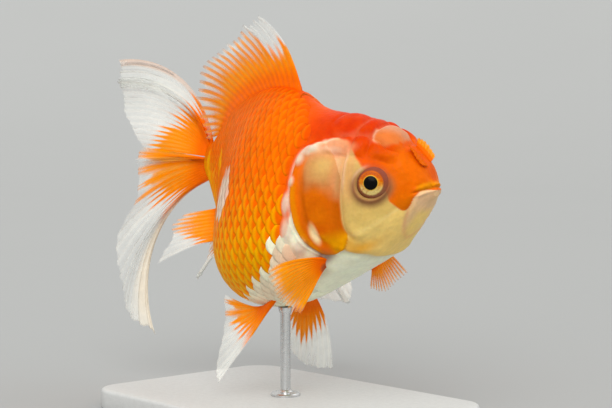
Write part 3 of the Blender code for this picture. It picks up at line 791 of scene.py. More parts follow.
def markings(station, around, points, colours, crisp=1.0):
    """The colours at points of the body; crisp scales the width of the orange's soft edge."""
    away = np.abs(around)
    right = around < 0
    # The left side's markings are alike, but wander further than the right side's.
    stray = np.where(right, 0.2, 1.0) * between(away, (4.0, 20.0), (160.0, 176.0))
    station = station + stray * 1.2 * soft_noise(station / 9.0, away / 30.0, 21.0)
    away = away + stray * 7.0 * soft_noise(station / 8.0, away / 28.0, 23.0)
    layers = (
        ("cream", fade(station, 16.0, 26.0) * fade(away, 104.0, 114.0)),
        *face_marks(station, away, points),
        *body_marks(station, np.where(right, -away, away), away, crisp),
        *crown_marks(station, around, away),
        *cover_marks(station, away, right),
        *mouth_marks(points),
        *eye_marks(station, away, points),
    )
    return painted(colours, "white", layers)


def share_table():
    """The arounds at even shares of each ring, for stations at even steps."""
    count = int(BODY_LENGTH / TABLE_STEP) + 1
    return np.array([even_arounds(i * TABLE_STEP, SHARES) for i in range(count)])


ROUNDS = share_table()


def around_at(station, share):
    """The around of a share of the way round the ring at a station."""
    row = np.clip(np.asarray(station, float) / TABLE_STEP, 0.0, len(ROUNDS) - 1.001)
    column = np.clip((share - SHARES[0]) / (SHARES[1] - SHARES[0]), 0.0, len(SHARES) - 1.001)
    i, j = row.astype(int), column.astype(int)
    fi, fj = row - i, column - j
    near = ROUNDS[i, j] * (1 - fj) + ROUNDS[i, j + 1] * fj
    far = ROUNDS[i + 1, j] * (1 - fj) + ROUNDS[i + 1, j + 1] * fj
    return near * (1 - fi) + far * fi


def new_grid(name, columns, rows):
    """A flat grid, the only thing selected, with its vertices in rows ready to be placed."""
    bpy.ops.object.select_all(action="DESELECT")
    bpy.ops.mesh.primitive_grid_add(x_subdivisions=columns - 1, y_subdivisions=rows - 1, size=1.0)
    made = bpy.context.active_object
    made.name = made.data.name = name
    if len(made.data.vertices) != columns * rows:
        raise RuntimeError(f"{name}: the grid holds {len(made.data.vertices)} points")
    return made


def place(made, points):
    """Puts a mesh's vertices at points in millimetres, with its object at the origin."""
    made.data.vertices.foreach_set("co", (np.asarray(points) * MM).ravel())
    made.data.update()


def add_values(made, name, values):
    """Keeps a colour or a number at each vertex, for the material to read."""
    values = np.asarray(values, dtype=np.float32)
    if values.ndim == 2:
        kept = made.data.attributes.new(name, "FLOAT_COLOR", "POINT")
        opaque = np.ones((len(values), 1), dtype=np.float32)
        kept.data.foreach_set("color", np.concatenate([values, opaque], axis=1).ravel())
    else:
        kept = made.data.attributes.new(name, "FLOAT", "POINT")
        kept.data.foreach_set("value", values)


def close_seams(made):
    """Merges vertices that meet, and turns the faces outward."""
    bpy.ops.object.mode_set(mode="EDIT")
    bpy.ops.mesh.select_all(action="SELECT")
    bpy.ops.mesh.remove_doubles(threshold=1e-6)
    bpy.ops.mesh.normals_make_consistent(inside=False)
    bpy.ops.object.mode_set(mode="OBJECT")
    made.data.validate()


def settle(made, slot, finish, nodes=(), sharp=None):
    """Gives a finished piece its material, its shading and its body, and hides the nodes that it stands
    for. The slot is not used.
    """
    made.data.materials.clear()
    made.data.materials.append(finish)
    bpy.ops.object.select_all(action="DESELECT")
    made.select_set(True)
    bpy.context.view_layer.objects.active = made
    if sharp is None:
        bpy.ops.object.shade_smooth()
    else:
        bpy.ops.object.shade_smooth_by_angle(angle=math.radians(sharp))
    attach(made, "root")
    if nodes:
        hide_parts(*nodes)


def feed(tree, made, inputs):
    """Links or sets a node's inputs."""
    for key, value in inputs.items():
        if isinstance(value, bpy.types.NodeSocket):
            tree.links.new(value, made.inputs[key])
        else:
            made.inputs[key].default_value = value


def node(tree, kind, inputs=None, **settings):
    """A node with its settings, and its inputs linked or set."""
    made = tree.nodes.new(kind)
    for name, value in settings.items():
        setattr(made, name, value)
    feed(tree, made, inputs or {})
    return made


def blend(tree, factor, first, second, way="MIX"):
    """A mix of two colours."""
    inputs = {0: factor, 6: first, 7: second}
    return node(tree, "ShaderNodeMix", inputs, data_type="RGBA", blend_type=way).outputs[2]


def maths(tree, operation, *values):
    """The result of a Math node on numbers or sockets."""
    inputs = dict(enumerate(values))
    return node(tree, "ShaderNodeMath", inputs, operation=operation).outputs[0]


def ramp(tree, value, low, high, start=0.0, end=1.0):
    """A smooth rise from one number to another as the value goes from low to high."""
    inputs = {"Value": value, "From Min": low, "From Max": high, "To Min": start, "To Max": end}
    return node(tree, "ShaderNodeMapRange", inputs, interpolation_type="SMOOTHSTEP").outputs[0]


def value_of(tree, name, output="Fac"):
    """A value or a colour that is kept at each vertex."""
    return node(tree, "ShaderNodeAttribute", attribute_name=name).outputs[output]


def new_group(name, inputs, outputs):
    """An empty shader node group with its sockets, each a name, a kind and a first value."""
    tree = bpy.data.node_groups.new(name, "ShaderNodeTree")
    for label, kind, first in inputs:
        made = tree.interface.new_socket(label, in_out="INPUT", socket_type="NodeSocket" + kind)
        made.default_value = first
    for label, kind in outputs:
        tree.interface.new_socket(label, in_out="OUTPUT", socket_type="NodeSocket" + kind)
    return tree, tree.nodes.new("NodeGroupInput"), tree.nodes.new("NodeGroupOutput")


def mottle_group():
    """Living skin's small variation: soft mottling, fine specks, and their height."""
    tree, given, out = new_group(
        "Mottle",
        (("Colour", "Color", (0.8, 0.2, 0.0, 1.0)), ("Cells", "Float", 900.0), ("Depth", "Float", 0.12)),
        (("Colour", "Color"), ("Height", "Float")),
    )
    coords = node(tree, "ShaderNodeTexCoord").outputs["Object"]
    cells, depth = given.outputs["Cells"], given.outputs["Depth"]
    wide = maths(tree, "MULTIPLY", cells, 0.35)
    soft = node(tree, "ShaderNodeTexNoise", {"Vector": coords, "Scale": wide, "Detail": 3.0}).outputs[0]
    fine = node(tree, "ShaderNodeTexNoise", {"Vector": coords, "Scale": cells, "Detail": 4.0}).outputs[0]
    grains = node(tree, "ShaderNodeTexVoronoi", {"Vector": coords, "Scale": cells}).outputs[0]
    both = maths(tree, "ADD", maths(tree, "MULTIPLY", soft, 0.6), maths(tree, "MULTIPLY", fine, 0.4))
    shade = ramp(tree, both, 0.3, 0.7, -1.0, 1.0)
    level = maths(tree, "ADD", 1.0, maths(tree, "MULTIPLY", shade, depth))
    grey = node(tree, "ShaderNodeCombineColor", {0: level, 1: level, 2: level}).outputs[0]
    tree.links.new(blend(tree, 1.0, given.outputs["Colour"], grey, "MULTIPLY"), out.inputs["Colour"])
    height = maths(tree, "SUBTRACT", fine, maths(tree, "MULTIPLY", grains, 0.5))
    tree.links.new(height, out.inputs["Height"])
    return tree


def plate_group():
    """The marks on one scale: the arc inside its rear edge where a glint is painted, its edge, and its
    growth rings.
    """
    tree, given, out = new_group(
        "Scale plate",
        (("Arc at", "Float", 0.8), ("Rings", "Float", 34.0)),
        (("Arc", "Float"), ("Edge", "Float"), ("Height", "Float")),
    )
    uv = node(tree, "ShaderNodeUVMap", uv_map="Plate").outputs[0]
    split = node(tree, "ShaderNodeSeparateXYZ", {0: uv})
    across = maths(tree, "MULTIPLY", maths(tree, "SUBTRACT", split.outputs[0], 0.5), 2.0)
    drop = maths(tree, "MULTIPLY", maths(tree, "POWER", maths(tree, "ABSOLUTE", across), 2.0), 0.22)
    along = maths(tree, "ADD", split.outputs[1], drop)
    off = maths(tree, "ABSOLUTE", maths(tree, "SUBTRACT", along, given.outputs["Arc at"]))
    tree.links.new(ramp(tree, off, 0.26, 0.03), out.inputs["Arc"])
    tree.links.new(ramp(tree, along, 0.93, 1.02), out.inputs["Edge"])
    turns = maths(tree, "SINE", maths(tree, "MULTIPLY", along, given.outputs["Rings"]))
    tree.links.new(turns, out.inputs["Height"])
    return tree


def group_in(tree, name, inputs):
    """A node group placed in a material, with its own values."""
    return node(tree, "ShaderNodeGroup", inputs, node_tree=bpy.data.node_groups[name])


def new_material(name, **constants):
    """A material, its node tree and its Principled shader with constants on its own sockets."""
    made = bpy.data.materials.new(name)
    made.use_nodes = True
    shader = made.node_tree.nodes["Principled BSDF"]
    for label, value in constants.items():
        shader.inputs[label.replace("_", " ")].default_value = value
    return made, made.node_tree, shader


def bump_into(tree, shader, height, distance):
    """Raises the shader's normals by a height, in metres."""
    inputs = {"Height": height, "Distance": distance, "Strength": 0.6}
    feed(tree, shader, {"Normal": node(tree, "ShaderNodeBump", inputs).outputs[0]})


def mottle_into(tree, shader, colour, cells, depth, rough, distance):
    """Gives the shader a mottled colour, with its roughness and bumps, and returns the height."""
    mottle = group_in(tree, "Mottle", {"Colour": colour, "Cells": cells, "Depth": depth})
    height = mottle.outputs["Height"]
    inputs = {"Base Color": mottle.outputs["Colour"], "Roughness": ramp(tree, height, *GRAIN, *rough)}
    feed(tree, shader, inputs)
    bump_into(tree, shader, height, distance)
    return height


def skin_material():
    """Soft, slightly wet skin."""
    made, tree, shader = new_material(
        "fish_skin",
        Subsurface_Weight=0.18,
        Subsurface_Radius=(1.0, 0.45, 0.2),
        Subsurface_Scale=0.0012,
        Specular_IOR_Level=0.03,
        Coat_Roughness=0.15,
    )
    tone = value_of(tree, "Tone", "Color")
    height = mottle_into(tree, shader, tone, 1100.0, 0.07, (0.36, 0.5), 0.00012)
    feed(tree, shader, {"Coat Weight": ramp(tree, height, *GRAIN, 0.03, 0.0)})
    return made


def scale_material(colours):
    """Scales with a painted golden glint in an arc inside each rear edge."""
    made, tree, shader = new_material("fish_scales", Specular_IOR_Level=0.015, Coat_Roughness=0.15)
    tone = value_of(tree, "Tone", "Color")
    plate = group_in(tree, "Scale plate", {"Arc at": 0.86, "Rings": 60.0})
    mottle = group_in(tree, "Mottle", {"Colour": tone, "Cells": 1500.0, "Depth": 0.08})
    # The golden arc is a painted glint, with a faint metallic finish under it.
    arc = maths(tree, "MULTIPLY", plate.outputs["Arc"], value_of(tree, "Glint"))
    bright = blend(tree, arc, mottle.outputs["Colour"], (*colours.glint_gold, 1.0))
    darker = blend(tree, 1.0, bright, (0.9, 0.78, 0.7, 1.0), "MULTIPLY")
    edge = maths(tree, "MULTIPLY", plate.outputs["Edge"], 0.1)
    grain = mottle.outputs["Height"]
    feed(tree, shader, {
        "Base Color": blend(tree, edge, bright, darker),
        "Metallic": maths(tree, "MULTIPLY", arc, 0.15),
        "Roughness": ramp(tree, plate.outputs["Arc"], 0.0, 1.0, 0.55, 0.4),
        "Coat Weight": ramp(tree, grain, *GRAIN, 0.015, 0.0),
    })
    rings = maths(tree, "MULTIPLY", plate.outputs["Height"], 0.25)
    bump_into(tree, shader, maths(tree, "ADD", grain, rings), 0.00005)
    return made


def fin_material():
    """Thin webs and rays; the faint emission stands in for light that passes through them."""
    made, tree, shader = new_material("fish_fins", Specular_IOR_Level=0.03, Emission_Strength=0.06)
    tone = value_of(tree, "Tone", "Color")
    mottle_into(tree, shader, tone, 1300.0, 0.06, (0.38, 0.5), 0.00006)
    feed(tree, shader, {"Alpha": value_of(tree, "Cover"), "Emission Color": tone})
    return made


def eye_material():
    """Wet eyes with a faint metal sheen in the iris."""
    made, tree, shader = new_material("fish_eyes", Specular_IOR_Level=0.05, Coat_Roughness=0.02)
    tone = value_of(tree, "Tone", "Color")
    height = mottle_into(tree, shader, tone, 1800.0, 0.05, (0.22, 0.34), 0.00003)
    coat = ramp(tree, height, -1.0, 0.0, 0.03, 0.05)
    feed(tree, shader, {"Metallic": value_of(tree, "Sheen"), "Coat Weight": coat})
    return made


def stand_material(name, colour, metallic, rough, cells, depth):
    """An even finish with a little mottling."""
    made, tree, shader = new_material(name, Metallic=metallic)
    mottle_into(tree, shader, (*colour, 1.0), cells, depth, (rough, rough + 0.14), 0.00004)
    return made


def skin_grid():
    """The station and around of every point of the skin, and how far it leans out over an end."""
    head = np.arange(0.0, HEAD_RINGS_TO, HEAD_RING_STEP)
    stations = np.concatenate([head, np.linspace(HEAD_RINGS_TO, BODY_LENGTH, REAR_RINGS)])
    shares = np.linspace(-1.0, 1.0, RING_POINTS)
    domes = np.linspace(0.0, 90.0, DOME_RINGS + 1)[1:]
    front, rear = np.zeros(DOME_RINGS), np.full(DOME_RINGS, BODY_LENGTH)
    station, share = np.meshgrid(np.concatenate([front, stations, rear]), shares, indexing="ij")
    lean = np.radians(np.concatenate([domes[::-1], np.zeros(len(stations)), domes]))
    return station.ravel(), around_at(station, share).ravel(), np.repeat(lean, len(shares))


def domed(station, around, lean):
    """The body's points and outward directions, with a low dome over each end, closed at a pole."""
    points = body_points(station, around)
    normals = body_normals(station, around)
    spine, forward, _ = frame_at(station)
    spine[:, 2] += smooth_rows(BODY, station)[:, [1, 3]].mean(axis=1)
    front = np.where(station < 1.0, 1.0, -1.0)[:, None] * forward
    rise = np.where(station < 1.0, FRONT_DOME, REAR_DOME)[:, None]
    inward, outward = np.cos(lean)[:, None], np.sin(lean)[:, None]
    points = spine + (points - spine) * inward + front * outward * rise
    normals = normals * inward + front * outward
    return points, normals / np.linalg.norm(normals, axis=1, keepdims=True)


def make_skin(colours):
    """One skin over the head, trunk, tail stalk and gill covers."""
    station, around, lean = skin_grid()
    points, normals = domed(station, around, lean)
    points += normals * skin_relief(station, around, points)[:, None]
    made = new_grid("fish_skin", RING_POINTS, len(station) // RING_POINTS)
    place(made, points)
    made.data.uv_layers[0].name = "OFBake"
    add_values(made, "Tone", markings(station, around, points, colours))
    close_seams(made)
    nodes = ("head", "trunk", "tail_stalk", "gill_cover_left", "gill_cover_right")
    settle(made, "skin", skin_material(), nodes)


def scale_template():
    """One scale as a closed plate: -1 to 1 across, 0 at its root to 1 at its tip, 1 thick."""
    made = new_grid("scale_template", SCALE_COLUMNS, len(SCALE_ROWS))
    across = np.tile(np.linspace(-1.0, 1.0, SCALE_COLUMNS), len(SCALE_ROWS))
    along = np.repeat(SCALE_ROWS, SCALE_COLUMNS)
    plate = made.data.uv_layers[0]
    plate.name = "Plate"
    loops = np.empty(len(made.data.loops), int)
    made.data.loops.foreach_get("vertex_index", loops)
    narrow = 0.8 + 0.2 * smooth(along, 0.0, 0.5) - 0.16 * smooth(along, 0.8, 1.0)
    x = across * narrow
    y = along * (1.0 - 0.27 * across**2 * smooth(along, 0.2, 1.0))
    plate.data.foreach_set("uv", np.stack([x[loops] / 2 + 0.5, y[loops]], axis=1).ravel())
    made.data.vertices.foreach_set("co", np.stack([x, y, np.zeros_like(x)], axis=1).ravel())
    made.data.update()
    thick = made.modifiers.new("thickness", "SOLIDIFY")
    thick.thickness, thick.offset = 1.0, 0.0
    bpy.ops.object.modifier_apply(modifier=thick.name)
    return made


def read_template(made):
    """The template's points, its faces, and its map's places in the order of the faces' corners."""
    mesh = made.data
    points = np.empty(len(mesh.vertices) * 3)
    mesh.vertices.foreach_get("co", points)
    uvs = np.empty(len(mesh.loops) * 2)
    mesh.uv_layers["Plate"].data.foreach_get("uv", uvs)
    faces = np.array([list(face.vertices) for face in mesh.polygons])
    bpy.data.objects.remove(made)
    return points.reshape(-1, 3), faces, uvs.reshape(-1, 2)


def scales_round(station, sizes):
    """How many scales stand in the ring at a station."""
    share = (2.0 / 3.0) ** sum(station >= start for start in FEWER_FROM)
    return int(round(sizes.scales_round * share))


def scale_roots(sizes):
    """The station, share of the ring, half width and row spacing of every scale."""
    found = []
    station, ring = FIRST_RING, 0
    while station < LAST_RING:
        size = float(read_pairs(SCALE_SIZES, station))
        count = scales_round(station, sizes)
        shares = (2.0 * np.arange(count) + 1.0 + ring % 2) / count - 1.0
        shares = np.where(shares > 1.0, shares - 2.0, shares)
        away = np.abs(around_at(station, shares))
        _, _, out = cover_place(station - 0.3 * size, away)
        clear = (station > read_pairs(COAT_START, away)) & (out > COVER_CLEARANCE)
        if DORSAL[0][0] - 2.0 < station < DORSAL[-1][0]:
            clear &= away > DORSAL_CLEARANCE
        found += [(station, share, SCALE_OVERLAP / count, size) for share in shares[clear]]
        station += size
        ring += 1
    return np.array(found)


def make_scales(sizes, colours):
    """Overlapping scales over the trunk and tail stalk, as one piece for each side."""
    template, faces, plate = read_template(scale_template())
    roots = scale_roots(sizes)
    x, y, z = template.T
    finish = scale_material(colours)
    for side in (1, -1):
        station, share, half, size = roots[np.where(roots[:, 1] * side >= 0)[0]].T[:, :, None]
        wander = cell_value(np.round(station * 7), np.round(share * 91), 31.0) - 0.5
        at = station - size + SCALE_REACH * size * y * (1.0 + 0.03 * wander)
        at = np.minimum(at, BODY_LENGTH)
        around = around_at(at, share + half * x)
        lift = 0.02 - (1.0 - y) * COAT_SHARE * size - 0.06 * x**2
        lift = lift + z * sizes.scale_thickness / MM
        points = body_points(at, around) + body_normals(at, around) * lift[..., None]
        # Each scale takes the colour of the spot that its bare end covers.
        shown = (station + 1.9 * size)[:, 0]
        centre = around_at(shown, share[:, 0])
        tone = markings(shown, centre, body_points(shown, centre), colours, crisp=0.15)
        glint = scale_glint(shown, np.abs(centre), tone)
        count, corners = len(station), len(template)
        name = "scales_" + side_name(side)
        made = bpy.data.objects.new(name, bpy.data.meshes.new(name))
        bpy.context.scene.collection.objects.link(made)
        moved = (faces + (np.arange(count) * corners)[:, None, None]).reshape(-1, 4)
        made.data.from_pydata((points.reshape(-1, 3) * MM).tolist(), [], moved.tolist())
        add_values(made, "Tone", np.repeat(tone * (1.0 + 0.18 * wander), corners, axis=0))
        add_values(made, "Glint", np.repeat(glint, corners))
        back = station[:, 0] / BODY_LENGTH
        middles = np.stack([share[:, 0] * 0.48 + 0.5, back * 0.96 + 0.02], axis=1)
        patches = middles[:, None] + (plate[None] - 0.5) * PATCH_SIZE
        for layer, places in (("Plate", np.tile(plate, (count, 1))), ("OFBake", patches)):
            made.data.uv_layers.new(name=layer).data.foreach_set("uv", places.ravel())
        made.data.update()
        settle(made, "skin", finish)


def scale_glint(station, away, tone):
    """How strongly each scale's painted golden glint shows: most on the lower flank, none on white."""
    low = between(away, (54.0, 104.0), (150.0, 170.0))
    random = cell_value(np.round(station * 5), np.round(away), 41.0)
    amount = (0.16 + 0.74 * low) * (0.6 + 0.4 * random)
    white = smooth(tone[:, 2], 0.1, 0.3)
    return amount * (1.0 - white)


def fin_ways(row, side, t):
    """The directions of rays at a share of the way along them."""
    pitch = np.radians(row[2] + (row[3] - row[2]) * t)
    splay = np.radians(row[4] + (row[5] - row[4]) * t)
    _, forward, left = frame_at(row[0])
    level = -forward * np.cos(splay)[:, None] + left * side * np.sin(splay)[:, None]
    way = level * np.cos(pitch)[:, None]
    way[:, 2] = np.sin(pitch)
    return way


def fin_sheet(rows, side, across, along, lengths, thickness, sunk):
    """The middle surface of a fin, [ray][step], with a few rows of its root inside the body."""
    numbered = [(i, *row) for i, row in enumerate(rows)]
    row = smooth_rows(numbered, across * (len(rows) - 1))[:, 1:].T
    root_way = fin_ways(row, side, 0.0)
    normal = body_normals(row[0], row[1] * side)
    point = body_points(row[0], row[1] * side)
    _, forward, _ = frame_at(row[0])
    slant = np.sqrt(np.clip(1.0 - (root_way * normal).sum(axis=1) ** 2, 0.0, 1.0))[:, None]
    raised = point + normal * (CAD_GAP + slant * thickness / 2)
    behind = point - forward * (CAD_GAP + thickness / 2) - normal * thickness / 2
    point = np.where((row[0] >= BODY_LENGTH)[:, None], behind, raised)
    sheet = [point - root_way * depth for depth in sunk] + [point]
    for k in range(len(along) - 1):
        step = (along[k + 1] - along[k]) * row[6] * lengths
        way = fin_ways(row, side, (along[k] + along[k + 1]) / 2)
        sheet.append(sheet[-1] + way * step[:, None])
    return np.stack(sheet, axis=1)


def ray_pattern(u, v, rays, seed):
    """How much of a fin's point is ray rather than web, and the ray's own number."""
    at = u * rays
    index = np.floor(at)
    phase = at - index - 0.5
    random = cell_value(index, 1.0, seed)
    fork = 0.1 * smooth(v, 0.5, 0.9)
    width = (0.3 - 0.17 * smooth(v, 0.2, 1.0)) * (0.8 + 0.4 * random)
    ridge = np.maximum(bump(phase, fork, width), bump(phase, -fork, width))
    return ridge, random


def fin_shades(u, v, fin, colours):
    """The colour and cover over a fin: orange rays whose webs clear outwards, then silky white."""
    ridge, random = ray_pattern(u, v, fin["rays"], fin["seed"])
    limit = read_pairs(fin["limit"], u)
    past = v - limit - fin["ragged"] * (random - 0.5) - fin["ragged"] * (ridge - 0.5)
    white = smooth(past, -0.05, 0.05) * (limit < 0.99)
    web = (1.0 - ridge) * smooth(v + 0.2 * (random - 0.5), *fin["clear"])
    orange = painted(colours, "fin_orange", (
        ("fin_root", fade(v, 0.05, 0.35)),
        ("fin_gold", 0.8 * (1.0 - ridge) * smooth(v, 0.1, 0.5)),
        ("fin_gold", 0.7 * smooth(v, 0.5, 0.95)),
        ("fin_white", 0.7 * web * smooth(v, 0.5, 1.0)),
    ))
    pale = painted(colours, "fin_white", (
        ("fin_ray", 0.3 * ridge),
        ("peach", 0.3 * np.clip(1.0 - past / 0.16, 0.0, 1.0) * ridge),
    ))
    made = orange + (pale - orange) * white[:, None]
    orange_cover = 1.0 - 0.06 * (1.0 - ridge) * smooth(v, 0.1, 0.5) - 0.65 * web
    orange_cover -= 0.4 * smooth(v, 0.86, 1.0)
    silk = fin["silk"] + 0.1 * soft_noise(u * 5.0, v * 2.0, fin["seed"] + 9.0)
    white_cover = silk + 0.12 * ridge - 0.14 * smooth(v, 0.6, 1.0)
    cover = orange_cover + (white_cover - orange_cover) * white
    for colour, place_u, place_v, size_u, size_v, amount in fin["patches"]:
        spot = amount * oval(u, v, (place_u, place_v), (size_u, size_v), 0.4)
        made = paint(made, getattr(colours, colour), spot)
        cover = cover + (0.92 - cover) * spot
    for place_u, place_v, size_u, size_v, amount in fin["windows"]:
        spot = amount * oval(u, v, (place_u, place_v), (size_u, size_v), 0.4)
        made = paint(made, colours.fin_white, spot * (1.0 - 0.6 * ridge))
        cover = cover * (1.0 - 0.65 * spot * (1.0 - 0.7 * ridge))
    # Light passes through both faces of the sheet.
    return made, 1.0 - np.sqrt(1.0 - np.clip(cover, 0.0, 0.999))


def ray_lengths(fin, u):
    """How long a fin is across its width, as a share of its rays: shorter in the torn webs."""
    ridge, random = ray_pattern(u, np.ones_like(u), fin["rays"], fin["seed"])
    inside = smooth(u * (1 - u), 0.0, 0.03)
    lengths = 1.0 - fin["torn"] * (1.0 - ridge) - fin["torn"] * random * inside
    return lengths - 0.02 * (1.0 + soft_noise(u * 6.0, 0.0, fin["seed"])) * inside


def fin_waves(fin, sheet, u, v):
    """How far a fin's points move off its plain sheet: long folds and a little unevenness."""
    normal = np.cross(np.gradient(sheet, axis=0), np.gradient(sheet, axis=1))
    normal /= np.linalg.norm(normal, axis=2, keepdims=True) + 1e-9
    wave = fin["wave"] * v**1.5 * np.sin(u * FIN_FOLDS + 2.5 * v + fin["seed"])
    wave = wave + 0.25 * v * soft_noise(u * 7.0, v * 4.0, fin["seed"] + 3.0)
    return normal * wave[..., None]


def half_thickness(fin, u, v, web):
    """Half a fin's thickness: thick at its root, then a thin web with a ridge for each ray."""
    ridge, _ = ray_pattern(u, v, fin["rays"], fin["seed"])
    thin = fin.get("web", web) / 2
    half = thin + (fin["thick"] / 2 - thin) * np.exp(-v / 0.1) * 0.9
    return half + fin["ridge"] * ridge * (1.0 - 0.6 * v) * min(fin["thick"], 1.0)


def thicken(made, half):
    """Makes a sheet solid, from half its thickness at each vertex."""
    most = float(half.max())
    share = made.vertex_groups.new(name="thickness")
    for i, value in enumerate(half):
        share.add([i], float(value / most), "REPLACE")
    thick = made.modifiers.new("thickness", "SOLIDIFY")
    thick.thickness, thick.offset, thick.vertex_group = 2.0 * most * MM, 0.0, "thickness"
    bpy.ops.object.modifier_apply(modifier=thick.name)
    made.vertex_groups.clear()


def make_fin(name, fin, finish, sizes, colours):
    """One fin: a waved and torn sheet, coloured and made solid."""
    u = np.linspace(0.0, 1.0, fin["rays"] * RAY_COLUMNS + 1)
    along = np.linspace(0.0, 1.0, fin["steps"] + 1) ** 1.1
    sunk = THICK_SUNK if fin["thick"] > 1.0 else THIN_SUNK
    lengths = ray_lengths(fin, u)
    sheet = fin_sheet(fin["rows"], fin["side"], u, along, lengths, fin["thick"], sunk)
    v = np.concatenate([np.zeros(len(sunk)), along])
    across, out = np.meshgrid(u, v, indexing="ij")
    sheet = sheet + fin_waves(fin, sheet, across, out)
    half = half_thickness(fin, across, out, sizes.web_thickness / MM)
    made = new_grid(name, len(u), len(v))
    place(made, sheet.transpose(1, 0, 2).reshape(-1, 3))
    tone, cover = fin_shades(across.T.ravel(), out.T.ravel(), fin, colours)
    add_values(made, "Tone", tone)
    add_values(made, "Cover", cover)
    thicken(made, half.T.ravel())
    settle(made, fin["slot"], finish, (fin["node"],))


def make_fins(sizes, colours):
    """Every fin, and the flaps over the nostrils."""
    finish = fin_material()
    for number, (name, fin) in enumerate(FINS.items(), 1):
        side = -1 if name.endswith("right") else 1
        whole = {**FIN_DEFAULTS, "seed": float(number), "side": side, **fin}
        make_fin(name, whole, finish, sizes, colours)


def make_eye(side, finish, sizes, colours):
    """An eyeball with a black pupil, a thin bright ring, and an iris that is paler below, with painted
    shade over its upper part and on the ball beyond it.
    """
    centre, radius, outward = eye_frame(side, *GAZE)
    side_way = np.cross((0.0, 0.0, 1.0), outward)
    side_way /= np.linalg.norm(side_way)
    up_way = np.cross(outward, side_way)
    leans = np.concatenate([np.linspace(0.0, 64.0, 65), np.linspace(68.0, 180.0, 25)])
    lean, turn = np.meshgrid(leans, np.linspace(0.0, 360.0, EYE_POINTS), indexing="ij")
    lean, turn = np.radians(lean.ravel()), np.radians(turn.ravel())
    from_axis = radius * np.sin(lean)
    pupil, iris = sizes.pupil_radius / MM, sizes.iris_radius / MM
    dish = 0.2 * bump(from_axis, (pupil + iris) / 2 + 0.2, 0.8) * (lean < 1.5)
    size = radius - dish - 0.03
    flat = np.cos(turn)[:, None] * side_way + np.sin(turn)[:, None] * up_way
    way = np.cos(lean)[:, None] * outward + np.sin(lean)[:, None] * flat
    points = centre + size[:, None] * way
    made = new_grid("eye_ball_" + side_name(side), EYE_POINTS, len(leans))
    place(made, points)
    from_axis = np.where(lean > math.pi / 2, radius * 2 - from_axis, from_axis)
    up = np.sin(turn) * np.clip(from_axis / iris, 0.0, 1.0)
    grain = 1.6 * soft_noise(turn * 7.0, from_axis * 1.6, 51.0)
    tone = painted(colours, "iris", (
        ("iris_top", smooth(up + 0.15 * grain, -0.1, 0.5)),
        ("iris_low", smooth(-up + 0.15 * grain, 0.05, 0.55)),
        # Painted shade in an arc over the upper iris.
        ("deep_shade", 0.5 * bump(from_axis, pupil + 0.75, 0.3) * smooth(up, 0.1, 0.6)),
        ("iris_top", 0.5 * smooth(grain, 0.2, 0.9)),
        # Painted shade on the ball beyond the iris, under the socket's edge.
        ("deep_shade", 0.92 * smooth(from_axis, iris - 0.3, iris + 0.15)),
        ("eye_ring", 0.8 - 0.8 * smooth(from_axis, pupil + 0.06, pupil + 0.26)),
    ))
    tone = paint(tone, PUPIL_BLACK, fade(from_axis, pupil - 0.05, pupil + 0.06))
    add_values(made, "Tone", tone)
    sheen = 0.2 * smooth(from_axis, pupil, pupil + 0.15) * fade(from_axis, iris, iris + 0.3)
    add_values(made, "Sheen", sheen)
    close_seams(made)
    settle(made, "eye", finish, ("eye_" + side_name(side),))


def lathe(name, profile, columns):
    """A shape turned round the upright line through the origin, from radii and heights."""
    radius, height = np.array(profile, float).T
    made = new_grid(name, columns + 1, len(radius))
    turn = np.tile(np.linspace(0.0, 2 * math.pi, columns + 1), len(radius))
    radius, height = np.repeat(radius, columns + 1), np.repeat(height, columns + 1)
    place(made, np.stack([radius * np.cos(turn), radius * np.sin(turn), height], axis=1))
    close_seams(made)
    return made


def select_edges(made, wanted):
    """Selects only the edges whose two ends, as points in millimetres, pass a test."""
    bpy.ops.object.mode_set(mode="EDIT")
    bpy.ops.mesh.select_mode(type="EDGE")
    bpy.ops.mesh.select_all(action="DESELECT")
    bpy.ops.object.mode_set(mode="OBJECT")
    for edge in made.data.edges:
        edge.select = wanted(*(made.data.vertices[i].co / MM for i in edge.vertices))
    bpy.ops.object.mode_set(mode="EDIT")


def make_stand_base(colours):
    """A flat base with round corners and softened edges."""
    low, high = (np.array(corner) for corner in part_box("stand_base"))
    bpy.ops.object.select_all(action="DESELECT")
    bpy.ops.mesh.primitive_cube_add(size=1.0)
    made = bpy.context.active_object
    made.name = made.data.name = "display_base"
    bpy.ops.object.mode_set(mode="EDIT")
    bpy.ops.transform.resize(value=tuple(high - low))
    bpy.ops.transform.translate(value=tuple((low + high) / 2))
    top = high[2] / MM
    for wanted, width, segments in (
        (lambda a, b: abs(a.z - b.z) > 1.0, BASE_CORNER, 10),
        (lambda a, b: min(a.z, b.z) > top - 0.01, BASE_TOP_EDGE, 4),
        (lambda a, b: max(a.z, b.z) < 0.01, BASE_FOOT_EDGE, 2),
    ):
        select_edges(made, wanted)
        bpy.ops.mesh.bevel(offset=width * MM, segments=segments, affect="EDGES")
    bpy.ops.object.mode_set(mode="OBJECT")
    finish = stand_material("base_finish", colours.base, 0.0, 0.42, 2200.0, 0.05)
    settle(made, "stand_base", finish, ("stand_base",), sharp=35.0)


def make_stand_rod(colours):
    """A steel rod in a low collar, with a small cup under the belly."""
    low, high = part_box("stand_rod")
    radius = (high[0] - low[0]) / 2 / MM
    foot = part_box("stand_base")[1][2] / MM
    top = high[2] / MM + ROD_RISE
    profile = (
        (0.0, foot + COLLAR[0][1]),
        *((radius + out, foot + over) for out, over in COLLAR),
        *((radius + out, top + over) for out, over in CUP),
        (0.0, top + CUP_FLOOR),
    )
    made = lathe("display_rod", profile, ROD_SEGMENTS)
    finish = stand_material("rod_finish", colours.rod, 1.0, 0.22, 900.0, 0.03)
    settle(made, "stand_rod", finish, ("stand_rod",), sharp=30.0)


